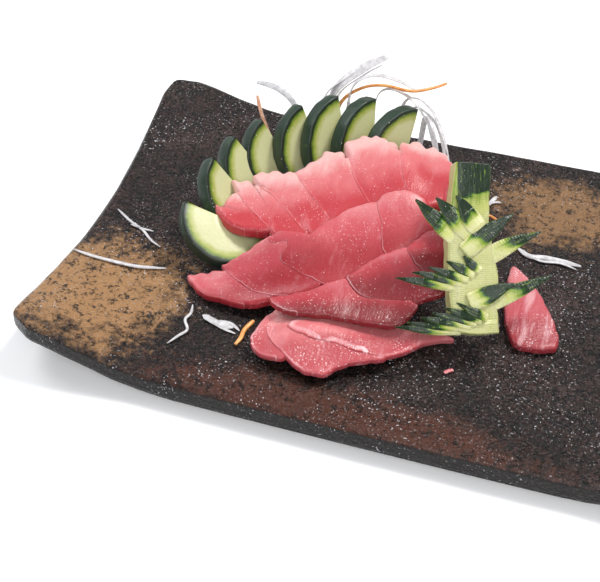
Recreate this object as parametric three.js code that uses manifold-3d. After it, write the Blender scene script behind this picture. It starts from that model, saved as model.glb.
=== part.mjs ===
// Sashimi plate: an oblong stoneware plate with turned-up corners that carries sliced tuna on a heap of
// shredded daikon, a fan of cucumber half-slices, a fir-cut cucumber garnish and a few loose shreds.
// Units are millimetres, +X is the long way of the plate, +Y its back, +Z up, z = 0 where the foot rests.

import * as THREE from 'three';
import { mergeVertices } from 'three/addons/utils/BufferGeometryUtils.js';
import Module from 'manifold-3d';

const wasm = await Module();
wasm.setup();

// ---------------------------------------------------------------- driving dimensions
const PLATE = {
  length: 304, width: 190, cornerRadius: 11, sideBow: 3, endBow: 2.5,
  footInset: 32, edgeHeight: 11, rimZ: 13, dish: 1.8,
  lift: 15.5, liftStart: 85, points: 80,
};
const GAP = 0.35;
const TUNA = { thickness: 4.4, edge: 0.28, spacing: 7 };
const SLICE_RINGS = [
  { share: 0.34, fullness: 1 }, { share: 0.66, fullness: 1 }, { share: 0.9, fullness: 0.86 }, { share: 1 },
];
const LAY = { sampling: 1, rounds: 60, stiffness: 0.55, sink: 0.12 };
const HEAP = {
  centre: [-38, 26], radiusX: 58, radiusY: 56, height: 31, crestX: -26, spreadLeft: 56, spreadRight: 35,
  toeY: -42, crestY: 33, backY: 84, points: 26,
};
const CUCUMBER = { sides: 8, bevel: 0.5 };
const FIR = {
  length: 71, thickness: 8, blade: 1.8, foot: [32.5, -41.5], head: [14.5, 23.5], slope: 36, roll: 14,
};

// ---------------------------------------------------------------- small helpers
const clamp = (value, low, high) => Math.min(high, Math.max(low, value));
const smooth = (low, high, value) => {
  const t = clamp((value - low) / (high - low), 0, 1);
  return t * t * (3 - 2 * t);
};
const lerp = (a, b, t) => a + (b - a) * t;

/** Closed solid from rings of equal length: fans close the first and the last ring at their centres. */
function ringSolid(rings, firstCentre, lastCentre) {
  const count = rings[0].length;
  const positions = [...firstCentre];
  for (const ring of rings) for (const point of ring) positions.push(...point);
  positions.push(...lastCentre);
  const last = 1 + rings.length * count;
  const index = [];
  for (let i = 0; i < count; i++) {
    const j = (i + 1) % count;
    index.push(0, 1 + j, 1 + i);
    for (let k = 0; k < rings.length - 1; k++) {
      const a = 1 + k * count;
      const b = a + count;
      index.push(a + i, a + j, b + j, a + i, b + j, b + i);
    }
    const end = 1 + (rings.length - 1) * count;
    index.push(end + i, end + j, last);
  }
  const geometry = new THREE.BufferGeometry();
  geometry.setAttribute('position', new THREE.Float32BufferAttribute(positions, 3));
  geometry.setIndex(index);
  return geometry;
}

/** Points along a closed smooth curve through a few plan points, which it keeps, counterclockwise. */
function closedOutline(points, spacing) {
  const knots = points.map(([x, y]) => new THREE.Vector3(x, y, 0));
  if (THREE.ShapeUtils.area(knots) < 0) knots.reverse();
  const curve = new THREE.CatmullRomCurve3(knots, true, 'centripetal');
  return knots.flatMap((knot, i) => {
    const parts = Math.max(1, Math.round(knot.distanceTo(knots[(i + 1) % knots.length]) / spacing));
    return Array.from({ length: parts }, (_, part) => {
      const { x, y } = curve.getPoint((i + part / parts) / knots.length);
      return [x, y];
    });
  });
}

function toManifold(geometry) {
  const bare = geometry.clone();
  bare.deleteAttribute('normal');
  bare.deleteAttribute('uv');
  const merged = mergeVertices(bare, 1e-4);
  return new wasm.Manifold(new wasm.Mesh({
    numProp: 3,
    vertProperties: new Float32Array(merged.attributes.position.array),
    triVerts: new Uint32Array(merged.index.array),
  }));
}

function fromManifold(solid) {
  const mesh = solid.getMesh();
  const geometry = new THREE.BufferGeometry();
  geometry.setAttribute('position', new THREE.Float32BufferAttribute(mesh.vertProperties, 3));
  geometry.setIndex([...mesh.triVerts]);
  return geometry;
}

const join = (geometries) => fromManifold(
  geometries.map(toManifold).reduce((whole, piece) => whole.add(piece)));

/** What is left of a solid after the cutters: its largest body. */
function without(geometry, cutters) {
  const rest = cutters.reduce((solid, cutter) => solid.subtract(cutter), toManifold(geometry));
  return fromManifold(rest.decompose().reduce((a, b) => (a.volume() > b.volume() ? a : b)));
}

// ---------------------------------------------------------------- plate
/** Height of the plate's upper face: a shallow dish whose four corners turn up. */
function plateTop(x, y) {
  const along = Math.abs(x) / (PLATE.length / 2);
  const across = Math.abs(y) / (PLATE.width / 2);
  const corner = smooth(PLATE.liftStart, PLATE.length / 2, Math.abs(x)) * across ** 1.7;
  const dish = PLATE.dish * (1 - along ** 4) * (1 - across ** 3);
  return PLATE.rimZ - clamp(dish, 0, PLATE.dish) + PLATE.lift * corner;
}

/** Rounded oblong whose long and short sides bow out a little, as points at equal turns. */
function plateOutline(inset) {
  const halfX = PLATE.length / 2 - inset;
  const halfY = PLATE.width / 2 - inset;
  const radius = Math.max(PLATE.cornerRadius - inset, 2);
  const shape = new THREE.Shape();
  shape.moveTo(-halfX + radius, -halfY);
  shape.lineTo(halfX - radius, -halfY);
  shape.absarc(halfX - radius, -halfY + radius, radius, -Math.PI / 2, 0);
  shape.lineTo(halfX, halfY - radius);
  shape.absarc(halfX - radius, halfY - radius, radius, 0, Math.PI / 2);
  shape.lineTo(-halfX + radius, halfY);
  shape.absarc(-halfX + radius, halfY - radius, radius, Math.PI / 2, Math.PI);
  shape.lineTo(-halfX, -halfY + radius);
  shape.absarc(-halfX + radius, -halfY + radius, radius, Math.PI, Math.PI * 1.5);
  return shape.getSpacedPoints(PLATE.points).slice(0, PLATE.points).map(({ x, y }) => [
    x * (1 + (PLATE.endBow / halfX) * (clamp(Math.abs(y) / halfY, 0, 1) ** 2 - 1)),
    y * (1 - (PLATE.sideBow / halfY) * clamp(Math.abs(x) / halfX, 0, 1) ** 3),
  ]);
}

function plate() {
  const ring = (inset, height) => plateOutline(inset).map(([x, y]) => [x, y, height(x, y)]);
  const under = (x, y) => plateTop(x, y) - PLATE.edgeHeight;
  const footInset = PLATE.footInset;
  const flatFoot = () => 0;
  const rings = [
    ring(footInset + 6, flatFoot),
    ring(footInset, flatFoot),
    ring(footInset - 2.5, (x, y) => under(x, y) + 0.6),
    ring(18, (x, y) => under(x, y) + 0.2),
    ring(2.2, under),
    ring(0.5, (x, y) => under(x, y) + 1),
    ring(0, (x, y) => under(x, y) + 3.5),
    ring(0.6, (x, y) => plateTop(x, y) - 1.6),
    ring(2.8, plateTop),
    ring(12, plateTop), ring(28, plateTop), ring(48, plateTop), ring(72, plateTop),
  ];
  return ringSolid(rings, [0, 0, 0], [0, 0, plateTop(0, 0)]);
}

// ---------------------------------------------------------------- height field that pieces are laid on
const FIELD = { x0: -152, y0: -95, step: 0.5, columns: 500, rows: 380 };
const field = new Float32Array(FIELD.columns * FIELD.rows);

/** Raises the field to the highest face of a solid above each of its cells. */
function raiseField(geometry) {
  const position = geometry.attributes.position;
  const index = geometry.index;
  const corner = [0, 1, 2].map(() => new THREE.Vector3());
  for (let t = 0; t < index.count; t += 3) {
    corner.forEach((point, k) => point.fromBufferAttribute(position, index.getX(t + k)));
    const [a, b, c] = corner;
    const area = (b.x - a.x) * (c.y - a.y) - (c.x - a.x) * (b.y - a.y);
    if (area < 1e-6) continue;
    const column0 = Math.max(0, Math.floor((Math.min(a.x, b.x, c.x) - FIELD.x0) / FIELD.step));
    const column1 = Math.min(FIELD.columns - 1, Math.ceil((Math.max(a.x, b.x, c.x) - FIELD.x0) / FIELD.step));
    const row0 = Math.max(0, Math.floor((Math.min(a.y, b.y, c.y) - FIELD.y0) / FIELD.step));
    const row1 = Math.min(FIELD.rows - 1, Math.ceil((Math.max(a.y, b.y, c.y) - FIELD.y0) / FIELD.step));
    for (let row = row0; row <= row1; row++) {
      for (let column = column0; column <= column1; column++) {
        const x = FIELD.x0 + column * FIELD.step;
        const y = FIELD.y0 + row * FIELD.step;
        const v = ((x - a.x) * (c.y - a.y) - (c.x - a.x) * (y - a.y)) / area;
        const w = ((b.x - a.x) * (y - a.y) - (x - a.x) * (b.y - a.y)) / area;
        if (v < -0.02 || w < -0.02 || v + w > 1.02) continue;
        const z = a.z + v * (b.z - a.z) + w * (c.z - a.z);
        const cell = row * FIELD.columns + column;
        if (z > field[cell]) field[cell] = z;
      }
    }
  }
}

/** Highest point of the field round a place. */
function fieldTop(x, y, reach = 1) {
  const column = Math.round((x - FIELD.x0) / FIELD.step);
  const row = Math.round((y - FIELD.y0) / FIELD.step);
  let top = 0;
  for (let dr = -reach; dr <= reach; dr++) {
    for (let dc = -reach; dc <= reach; dc++) {
      const value = field[(row + dr) * FIELD.columns + column + dc] ?? 0;
      if (value > top) top = value;
    }
  }
  return top;
}

/**
 * Lays a sheet of triangles on the field. Each round bends the sheet towards its own mean, lets it sink
 * a little, and lifts its corners until no sampled spot of a triangle is below the field.
 */
function layOn(vertices, triangles, neighbours) {
  const heights = vertices.map(([x, y]) => fieldTop(x, y) + GAP);
  const samples = [];
  for (const [i, j, k] of triangles) {
    const [a, b, c] = [vertices[i], vertices[j], vertices[k]];
    const side = (p, q) => Math.hypot(p[0] - q[0], p[1] - q[1]);
    const parts = Math.max(2, Math.ceil(Math.max(side(a, b), side(b, c), side(c, a)) / LAY.sampling));
    for (let p = 0; p <= parts; p++) {
      for (let q = 0; q <= parts - p; q++) {
        const [u, v, w] = [p / parts, q / parts, 1 - (p + q) / parts];
        const height = fieldTop(a[0] * u + b[0] * v + c[0] * w, a[1] * u + b[1] * v + c[1] * w) + GAP;
        samples.push([i, j, k, u, v, w, height]);
      }
    }
  }
  const lift = (rounds) => {
    for (let round = 0; round < rounds; round++) {
      for (const [i, j, k, u, v, w, height] of samples) {
        const short = height - (heights[i] * u + heights[j] * v + heights[k] * w);
        if (short <= 0) continue;
        const share = short / (u * u + v * v + w * w);
        heights[i] += share * u;
        heights[j] += share * v;
        heights[k] += share * w;
      }
    }
  };
  for (let round = 0; round < LAY.rounds; round++) {
    const before = [...heights];
    neighbours.forEach((near, i) => {
      const mean = near.reduce((sum, j) => sum + before[j], 0) / near.length;
      heights[i] = lerp(before[i], mean, LAY.stiffness) - LAY.sink;
    });
    lift(2);
  }
  lift(60);
  return heights;
}

/**
 * A soft slice laid over what is already there. The outline is its plan, filled by rings between its
 * middle and its edge. The thickness falls from the middle to a thin rounded edge.
 */
function laidSlice(outline, { thickness, edge, spacing } = TUNA) {
  const rim = closedOutline(outline, spacing);
  const count = rim.length;
  const middle = [0, 1].map((axis) => rim.reduce((sum, point) => sum + point[axis], 0) / count);
  const vertices = [middle];
  for (const { share } of SLICE_RINGS) {
    for (const [x, y] of rim) vertices.push([lerp(middle[0], x, share), lerp(middle[1], y, share)]);
  }
  const triangles = [];
  for (let i = 0; i < count; i++) {
    const j = (i + 1) % count;
    triangles.push([0, 1 + i, 1 + j]);
    for (let k = 0; k < SLICE_RINGS.length - 1; k++) {
      const a = 1 + k * count;
      const b = a + count;
      triangles.push([a + i, b + i, b + j], [a + i, b + j, a + j]);
    }
  }
  const neighbours = vertices.map(() => new Set());
  for (const [i, j, k] of triangles) {
    neighbours[i].add(j).add(k);
    neighbours[j].add(i).add(k);
    neighbours[k].add(i).add(j);
  }
  const floor = layOn(vertices, triangles, neighbours.map((set) => [...set]));
  const ring = (k, rise) => rim.map((_, i) => {
    const vertex = 1 + k * count + i;
    return [...vertices[vertex], floor[vertex] + rise];
  });
  const lower = SLICE_RINGS.map((_, k) => ring(k, 0));
  const upper = SLICE_RINGS.map(({ fullness }, k) => ring(k, thickness * (fullness ?? edge))).reverse();
  const geometry = ringSolid([...lower, ...upper], [...middle, floor[0]], [...middle, floor[0] + thickness]);
  raiseField(geometry);
  return geometry;
}

// ---------------------------------------------------------------- daikon heap
/** Height of the heap of shreds: it climbs from its toe to a crest, then falls to the back. */
function heapHeight(x, y) {
  const away = x - HEAP.crestX;
  const along = Math.exp(-((away / (away < 0 ? HEAP.spreadLeft : HEAP.spreadRight)) ** 4));
  const crestY = HEAP.crestY - 0.011 * away ** 2;
  const across = y < crestY
    ? clamp((y - HEAP.toeY) / (crestY - HEAP.toeY), 0, 1) ** 2
    : 1 - clamp((y - crestY) / (HEAP.backY - crestY), 0, 1) ** 1.1;
  return HEAP.height * along * across;
}

function heapCore() {
  const shares = [1, 0.97, 0.86, 0.68, 0.46, 0.22];
  const [cx, cy] = HEAP.centre;
  const base = (x, y) => fieldTop(x, y, 6) + GAP;
  const crown = (x, y, share) => base(x, y) + 0.8 + heapHeight(x, y) * smooth(1.02, 0.86, share);
  const ring = (share, height) => Array.from({ length: HEAP.points }, (_, i) => {
    const turn = (i / HEAP.points) * Math.PI * 2;
    const wobble = share * (1 + 0.03 * Math.sin(5 * turn) + 0.02 * Math.sin(9 * turn + 1));
    const x = cx + HEAP.radiusX * wobble * Math.cos(turn);
    const y = cy + HEAP.radiusY * wobble * Math.sin(turn);
    return [x, y, height(x, y, share)];
  });
  const lower = [0.5, 1].map((share) => ring(share, base));
  const upper = shares.map((share) => ring(share, crown));
  return ringSolid([...lower, ...upper], [cx, cy, base(cx, cy)], [cx, cy, crown(cx, cy, 0)]);
}

// ---------------------------------------------------------------- cucumber half-slices
/**
 * The fan of half-slices, from the flattest at the left to the last at the right: the middle of the cut
 * face, the turn of that face from the front towards +X, its lean back from upright, and its roll.
 */
const CUCUMBERS = [
  { at: [-82, -11, 29], turn: 60, lean: 60, roll: 35, radius: 20.9, thickness: 6.8 },
  { at: [-84.2, 9, 31], turn: 78, lean: 36, roll: 9, radius: 19, thickness: 6.8 },
  { at: [-80, 24.5, 32.4], turn: 66, lean: 31, roll: 16, radius: 18.8, thickness: 6.8 },
  { at: [-71.5, 36.5, 32.6], turn: 58, lean: 27, roll: 15, radius: 19.8, thickness: 6.8 },
  { at: [-57.2, 45, 34], turn: 57, lean: 24, roll: 6, radius: 21.4, thickness: 6.8 },
  { at: [-45.4, 50, 35], turn: 61, lean: 21, roll: -8, radius: 22.6, thickness: 6.6 },
  { at: [-32.1, 53, 34.5], turn: 61, lean: 14, roll: -15, radius: 22.4, thickness: 6.8 },
  { at: [-15.9, 52, 33], turn: 54, lean: 13, roll: -25, radius: 22, thickness: 6.8 },
];

function halfDisc(radius, thickness, bevel) {
  const shape = new THREE.Shape();
  shape.moveTo(0, radius);
  shape.absarc(0, 0, radius, Math.PI / 2, Math.PI * 1.5);
  shape.lineTo(0, radius);
  return new THREE.ExtrudeGeometry(shape, {
    depth: thickness - 2 * bevel, bevelEnabled: true, bevelThickness: bevel, bevelSize: bevel,
    bevelOffset: -bevel, bevelSegments: 1, curveSegments: CUCUMBER.sides, steps: 1,
  }).translate(0, 0, bevel - thickness);
}

/** Places a half-slice: its face looks along local +Z, its rind is on local -X, its cut edge along Y. */
function placeCucumber({ at, turn, lean, roll, radius, thickness }, grow = 0) {
  const geometry = halfDisc(radius + grow, thickness + 2 * grow, CUCUMBER.bevel);
  geometry.translate(grow, 0, grow);
  const rad = THREE.MathUtils.degToRad;
  const matrix = new THREE.Matrix4().makeTranslation(...at)
    .multiply(new THREE.Matrix4().makeRotationZ(rad(turn)))
    .multiply(new THREE.Matrix4().makeRotationX(rad(90 - lean)))
    .multiply(new THREE.Matrix4().makeRotationZ(rad(roll)));
  return geometry.applyMatrix4(matrix);
}

// ---------------------------------------------------------------- tuna slices
/** Plan outlines of the slices in the order they are laid: back row, middle row, front, low row. */
const TUNA_SLICES = {
  tuna_back_1: [[-90, -7], [-88, -4], [-82, 2], [-75, 2], [-64, -4], [-56, -12], [-62, -15],
    [-70, -17], [-77, -17], [-84, -14]],
  tuna_back_2: [[-87, 8], [-81, 10], [-75, 9], [-65, 6], [-54, -2], [-44, -12], [-46, -20],
    [-55, -21], [-62, -15], [-70, -9], [-78, -3]],
  tuna_back_3: [[-78, 10], [-77, 14], [-67, 17], [-60, 17], [-50, 13], [-40, 3], [-33, -9],
    [-37, -16], [-44, -14], [-51, -9], [-58, -3], [-69, 4]],
  tuna_back_4: [[-60, 17], [-58, 21], [-53, 27], [-46, 32], [-39, 30], [-31, 22], [-21, 10],
    [-14, 1], [-17, -6], [-27, -9], [-37, -5], [-44, 1], [-52, 8]],
  tuna_back_5: [[-42, 38], [-36, 41], [-29, 43], [-20, 42], [-13, 37], [-5, 26], [0, 12], [-5, 4],
    [-14, 0], [-22, 6], [-33, 18]],
  tuna_back_6: [[-18, 44], [-14, 49], [-8, 52], [-2, 52], [7, 45], [10, 37], [9, 25], [9, 15],
    [2, 9], [-6, 13], [-11, 20], [-15, 31]],
  tuna_middle_1: [[-93, -37], [-91, -35], [-80, -33], [-68, -32], [-56, -35], [-46, -38],
    [-47, -43], [-54, -46], [-63, -48], [-72, -47], [-82, -46], [-89, -41]],
  tuna_middle_2: [[-79, -31], [-75, -29], [-68, -25], [-60, -20], [-52, -19], [-42, -22],
    [-34, -29], [-32, -36], [-40, -42], [-50, -43], [-59, -42], [-67, -39]],
  tuna_middle_3: [[-60, -20], [-51, -23], [-44, -17], [-36, -7], [-27, 2], [-19, 5], [-9, -2],
    [-5, -13], [-9, -24], [-19, -32], [-29, -36], [-38, -34], [-46, -32], [-53, -29]],
  tuna_middle_4: [[-19, 5], [-16, 9], [-10, 12], [-2, 12], [4, 8], [11, 0], [15, -11], [8, -20],
    [-3, -21], [-11, -16], [-15, -5]],
  tuna_front_1: [[-43, -43], [-49, -47], [-52, -55], [-54, -63], [-52, -69], [-46, -73], [-38, -73],
    [-33, -67], [-35, -54]],
  tuna_front_2: [[-41, -48], [-47, -52], [-49, -58], [-47, -63], [-42, -68], [-36, -72], [-28, -76],
    [-20, -75], [-13, -68], [-5, -64], [2, -60], [0, -54], [-14, -50], [-30, -48]],
  tuna_front_3: [[-40, -56], [-38, -60], [-29, -61], [-20, -60], [-11, -61], [2, -59], [8, -54],
    [13, -48], [19, -42], [27, -38], [18, -36], [6, -39], [-10, -44], [-26, -46], [-36, -50]],
  tuna_low_1: [[-23, -32], [-29, -35], [-36, -40], [-43, -44], [-51, -48], [-47, -52], [-40, -54],
    [-28, -52], [-17, -50], [0, -48], [6, -44], [10, -37], [0, -33], [-12, -31]],
  tuna_low_2: [[-23, -32], [-20, -28], [-14, -22], [-8, -18], [-1, -15], [8, -17], [15, -22],
    [20, -30], [12, -35], [2, -37], [-13, -39], [-18, -37]],
  tuna_low_3: [[-1, -15], [2, -10], [5, -4], [9, -2], [14, -5], [17, -15], [19, -25], [14, -28],
    [7, -25], [1, -20]],
  tuna_right: [[43, 13], [51, 6], [60, -8], [66, -20], [68, -30], [62, -34], [51, -34], [45, -24],
    [42, -4]],
};

// ---------------------------------------------------------------- fir-cut garnish
/** A leaf of the fir cut: a flat blade, widest past its root, that narrows to a point at its tip. */
function firBlade([rootX, rootY], [tipX, tipY], width, height) {
  const half = width / 2 / Math.hypot(tipX - rootX, tipY - rootY);
  const [acrossX, acrossY] = [(rootY - tipY) * half, (tipX - rootX) * half];
  const [bowX, bowY] = [lerp(rootX, tipX, 0.6), lerp(rootY, tipY, 0.6)];
  const shape = new THREE.Shape();
  shape.moveTo(rootX - acrossX, rootY - acrossY);
  shape.quadraticCurveTo(bowX - acrossX, bowY - acrossY, tipX, tipY);
  shape.quadraticCurveTo(bowX + acrossX, bowY + acrossY, rootX + acrossX, rootY + acrossY);
  shape.closePath();
  return new THREE.ExtrudeGeometry(shape, {
    depth: FIR.blade, bevelEnabled: false, curveSegments: 4, steps: 1,
  }).translate(0, 0, height);
}

/** Fans of blades from the base up: the roots, tips and heights of their lowest and highest blades. */
const FIR_FANS = [
  { count: 6, width: 5, root: [[-6, 2], [4, 7]], tip: [[-35, 2], [-10, 12.5]], height: [4.4, 7.2] },
  { count: 2, width: 9, root: [[0, 11], [-4, 13]], tip: [[33.5, 26.5], [16, 22]], height: [4.6, 6.8] },
  { count: 5, width: 5, root: [[-8, 19], [1, 26]], tip: [[-35, 21.5], [-7, 31.5]], height: [4.6, 7.2] },
  { count: 2, width: 9, root: [[-1, 29], [-6, 33]], tip: [[29, 44.5], [15.5, 50.5]], height: [4.6, 6.8] },
  { count: 3, width: 9, root: [[-5, 37], [1, 43]], tip: [[-26.5, 54], [-10, 56]], height: [4.6, 6.8] },
];

function firGarnish() {
  const side = [[10, 2], [9, 12], [9.5, 24], [7, 36], [5.5, 47], [7, FIR.length], [-9, FIR.length - 1.5],
    [-10.5, 57], [-12, 37], [-11.5, 20], [-10, 1]];
  const trunk = new THREE.Shape([[0, 0], ...side].map(([x, y]) => new THREE.Vector2(x, y)));
  const pieces = [new THREE.ExtrudeGeometry(trunk, { depth: FIR.thickness, bevelEnabled: false, steps: 1 })];
  for (const { count, width, root, tip, height } of FIR_FANS) {
    for (let i = 0; i < count; i++) {
      const between = ([low, high]) => low.map((value, axis) => lerp(value, high[axis], i / (count - 1)));
      pieces.push(firBlade(between(root), between(tip), width, lerp(...height, i / (count - 1))));
    }
  }
  const rad = THREE.MathUtils.degToRad;
  const [dx, dy] = [FIR.head[0] - FIR.foot[0], FIR.head[1] - FIR.foot[1]];
  return join(pieces)
    .applyMatrix4(new THREE.Matrix4().makeRotationY(rad(FIR.roll)))
    .applyMatrix4(new THREE.Matrix4().makeRotationX(rad(FIR.slope)))
    .applyMatrix4(new THREE.Matrix4().makeRotationZ(Math.atan2(dy, dx) - Math.PI / 2))
    .translate(FIR.foot[0], FIR.foot[1], 0);
}

/** Lowers a stiff piece on to the field until its first spot touches. */
function restOn(geometry, parts = 8) {
  const position = geometry.attributes.position;
  const corner = [0, 1, 2].map(() => new THREE.Vector3());
  const spot = new THREE.Vector3();
  let lift = -Infinity;
  for (let t = 0; t < geometry.index.count; t += 3) {
    corner.forEach((point, k) => point.fromBufferAttribute(position, geometry.index.getX(t + k)));
    for (let p = 0; p <= parts; p++) {
      for (let q = 0; q <= parts - p; q++) {
        spot.set(0, 0, 0).addScaledVector(corner[0], p / parts).addScaledVector(corner[1], q / parts)
          .addScaledVector(corner[2], 1 - (p + q) / parts);
        lift = Math.max(lift, fieldTop(spot.x, spot.y) + GAP - spot.z);
      }
    }
  }
  geometry.translate(0, 0, lift);
  raiseField(geometry);
  return geometry;
}

// ---------------------------------------------------------------- shreds
/** A strip along a curve through a few points, of an oblong section. */
function strip(points, { width, thickness, steps }) {
  const spots = points.map((point) => new THREE.Vector3(...point));
  const curve = new THREE.CatmullRomCurve3(spots, false, 'centripetal');
  const section = new THREE.Shape();
  section.moveTo(-thickness / 2, -width / 2);
  section.lineTo(thickness / 2, -width / 2);
  section.lineTo(thickness / 2, width / 2);
  section.lineTo(-thickness / 2, width / 2);
  section.closePath();
  return new THREE.ExtrudeGeometry(section, { extrudePath: curve, steps, bevelEnabled: false });
}

/** The size of the slot that a strip needs. */
const grown = ({ width, thickness, steps }) => ({
  width: width + 2 * GAP, thickness: thickness + 2 * GAP, steps,
});

/** A strip laid along its plan route on whatever is there. */
function laidStrip(size) {
  const spots = size.route.map(([x, y]) => new THREE.Vector3(x, y, 0));
  const curve = new THREE.CatmullRomCurve3(spots, false, 'centripetal');
  const reach = Math.ceil((size.width + 2) / FIELD.step);
  const clear = GAP + Math.max(size.width, size.thickness) / 2;
  const points = curve.getSpacedPoints(size.steps).map(({ x, y }) => [x, y, fieldTop(x, y, reach) + clear]);
  const geometry = strip(points, size);
  raiseField(mergeVertices(geometry.deleteAttribute('normal').deleteAttribute('uv'), 1e-4));
  return geometry;
}

/** Shreds that spring from the heap: their routes end in the air behind the cucumber fan. */
const HEAP_SPRIGS = [
  { route: [[-72, 60, 14], [-73, 62, 40], [-84, 70, 44], [-99, 81, 38]],
    width: 2.4, thickness: 1.4, steps: 10 },
  { route: [[-62, 70, 14], [-58, 73, 44], [-46, 81, 56], [-35, 87, 61]],
    width: 4.4, thickness: 1.2, steps: 10 },
  { route: [[-50, 73, 14], [-49, 73, 48], [-40, 77, 56], [-28, 78, 55], [-18, 79, 50]],
    width: 2.2, thickness: 1.4, steps: 12 },
  { route: [[-24, 76, 14], [-24, 77, 42], [-17, 75, 49], [-8, 68, 48], [0, 57, 42], [6, 50, 30]],
    width: 2, thickness: 1.4, steps: 14 },
  { route: [[-14, 76, 14], [-12, 74, 40], [-7, 64, 40], [0, 54, 28]],
    width: 2.6, thickness: 1.2, steps: 9 },
];
const HEAP_SHREDS = { count: 9, width: 2.4, thickness: 1.6, steps: 5, seed: 7 };
/** Shreds and scraps that lie on the plate. */
const LOOSE = {
  daikon_loose_1: { route: [[-141, -3], [-132, -9], [-124, -13], [-118, -18], [-112, -21]],
    width: 1.2, thickness: 1, steps: 12, finish: 'daikon' },
  daikon_loose_2: { route: [[-147, -37], [-136, -38], [-118, -37], [-110, -35], [-104, -33]],
    width: 1.6, thickness: 1, steps: 12, finish: 'daikon' },
  daikon_loose_3: { route: [[-85, -50], [-84, -55], [-85, -59], [-82, -64], [-84, -68], [-87, -74]],
    width: 1.2, thickness: 1, steps: 11, finish: 'daikon' },
  daikon_loose_4: { route: [[-79, -54], [-70, -57], [-64, -57]],
    width: 2.4, thickness: 1, steps: 8, finish: 'daikon' },
  daikon_loose_5: { route: [[43, 27], [49, 23], [57, 24], [72, 23]],
    width: 2.4, thickness: 1.2, steps: 9, finish: 'daikon' },
  daikon_loose_6: { route: [[25.4, 51.5], [26.6, 55], [28.4, 59.2]],
    width: 2.2, thickness: 1, steps: 5, finish: 'daikon' },
  carrot_2: { route: [[-57, -51], [-59, -57], [-59, -62], [-60, -66]],
    width: 1.8, thickness: 1.4, steps: 7, finish: 'carrot' },
  carrot_4: { route: [[26, 45.2], [28.5, 44.2], [31.2, 42.6]],
    width: 1.4, thickness: 1.1, steps: 4, finish: 'carrot' },
  tuna_crumb: { route: [[25.6, -55.4], [27.2, -53.8], [28.8, -52.8]],
    width: 1.6, thickness: 1, steps: 4, finish: 'tuna' },
};
/** Carrot shreds of the heap: one leans on its left, one leans out over the fan. */
const HEAP_CARROTS = {
  carrot_1: { route: [[-99, 80, 30], [-93, 68, 29], [-86, 60, 22], [-82, 56, 16]],
    width: 1.8, thickness: 1.6, steps: 7 },
  carrot_3: { route: [[-57, 72, 22], [-54, 73, 40], [-44, 74, 50], [-33, 75, 53], [-20, 74, 53],
    [-10, 82, 52], [-6, 88, 51]], width: 1.8, thickness: 1.8, steps: 14 },
};
/** Mulberry32: the same draws on every run. */
function seededRandom(seed) {
  let state = seed;
  return () => {
    state = (state + 0x6d2b79f5) | 0;
    let t = Math.imul(state ^ (state >>> 15), 1 | state);
    t = (t + Math.imul(t ^ (t >>> 7), 61 | t)) ^ t;
    return ((t ^ (t >>> 14)) >>> 0) / 4294967296;
  };
}

/** Shreds that show on the open back of the heap: short waves laid along its slope. */
function heapShreds() {
  const random = seededRandom(HEAP_SHREDS.seed);
  return Array.from({ length: HEAP_SHREDS.count }, (_, i) => {
    const x = lerp(-74, 4, (i + 0.5 * random()) / HEAP_SHREDS.count);
    const y = lerp(58, 66, random()) - 0.006 * (x + 32) ** 2;
    const heading = lerp(-0.6, 0.6, random()) + (i % 2 ? Math.PI : 0);
    const points = [0, 1, 2, 3].map((k) => {
      const along = (k - 1.5) * 7;
      const sway = 2.4 * Math.sin(k * 2 + i);
      const px = x + along * Math.cos(heading) - sway * Math.sin(heading);
      const py = y + along * Math.sin(heading) + sway * Math.cos(heading);
      return [px, py, fieldTop(px, py, 2) + 0.9];
    });
    return strip(points, HEAP_SHREDS);
  });
}

// ---------------------------------------------------------------- the whole
const group = new THREE.Group();
const FINISH = {
  stoneware: { color: 0x33261f, roughness: 0.35, metalness: 0 },
  tuna: { color: 0xc4525c, roughness: 0.3, metalness: 0 },
  cucumber: { color: 0xa9b56a, roughness: 0.35, metalness: 0 },
  fir: { color: 0x7f9a45, roughness: 0.35, metalness: 0 },
  daikon: { color: 0xe4e2dc, roughness: 0.35, metalness: 0 },
  carrot: { color: 0xd98a45, roughness: 0.4, metalness: 0 },
};

function add(name, geometry, finish) {
  const mesh = new THREE.Mesh(geometry, new THREE.MeshStandardMaterial(FINISH[finish]));
  mesh.name = name;
  group.add(mesh);
}

const plateGeometry = plate();
add('plate', plateGeometry, 'stoneware');
raiseField(plateGeometry);

const core = heapCore();
raiseField(core);
const cucumberSlots = CUCUMBERS.map((slice) => toManifold(placeCucumber(slice, GAP)));
const carrotSlots = Object.values(HEAP_CARROTS).map((shred) => toManifold(strip(shred.route, grown(shred))));
const springing = [core, ...heapShreds(), ...HEAP_SPRIGS.map((sprig) => strip(sprig.route, sprig))];
add('daikon_heap', without(join(springing), [...cucumberSlots, ...carrotSlots]), 'daikon');

CUCUMBERS.forEach((slice, i) => {
  const geometry = without(placeCucumber(slice), cucumberSlots.slice(i + 1));
  add(`cucumber_${i + 1}`, geometry, 'cucumber');
  raiseField(geometry);
});
for (const [name, shred] of Object.entries(HEAP_CARROTS)) {
  add(name, without(strip(shred.route, shred), cucumberSlots), 'carrot');
}

for (const [name, outline] of Object.entries(TUNA_SLICES)) add(name, laidSlice(outline), 'tuna');
for (const [name, shred] of Object.entries(LOOSE)) add(name, laidStrip(shred), shred.finish);
add('cucumber_fir', restOn(firGarnish()), 'fir');

export default group;
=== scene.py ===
"""Sashimi plate: the looks of its stoneware, tuna slices, cucumber and shredded daikon.

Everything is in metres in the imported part's frame: +X along the plate, +Y to its back, +Z up.
"""

import logging
import math
import random
from copy import deepcopy
from dataclasses import dataclass, replace
from enum import Enum

import bmesh
import bpy
import numpy as np
from mathutils import Matrix, Vector, noise


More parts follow.
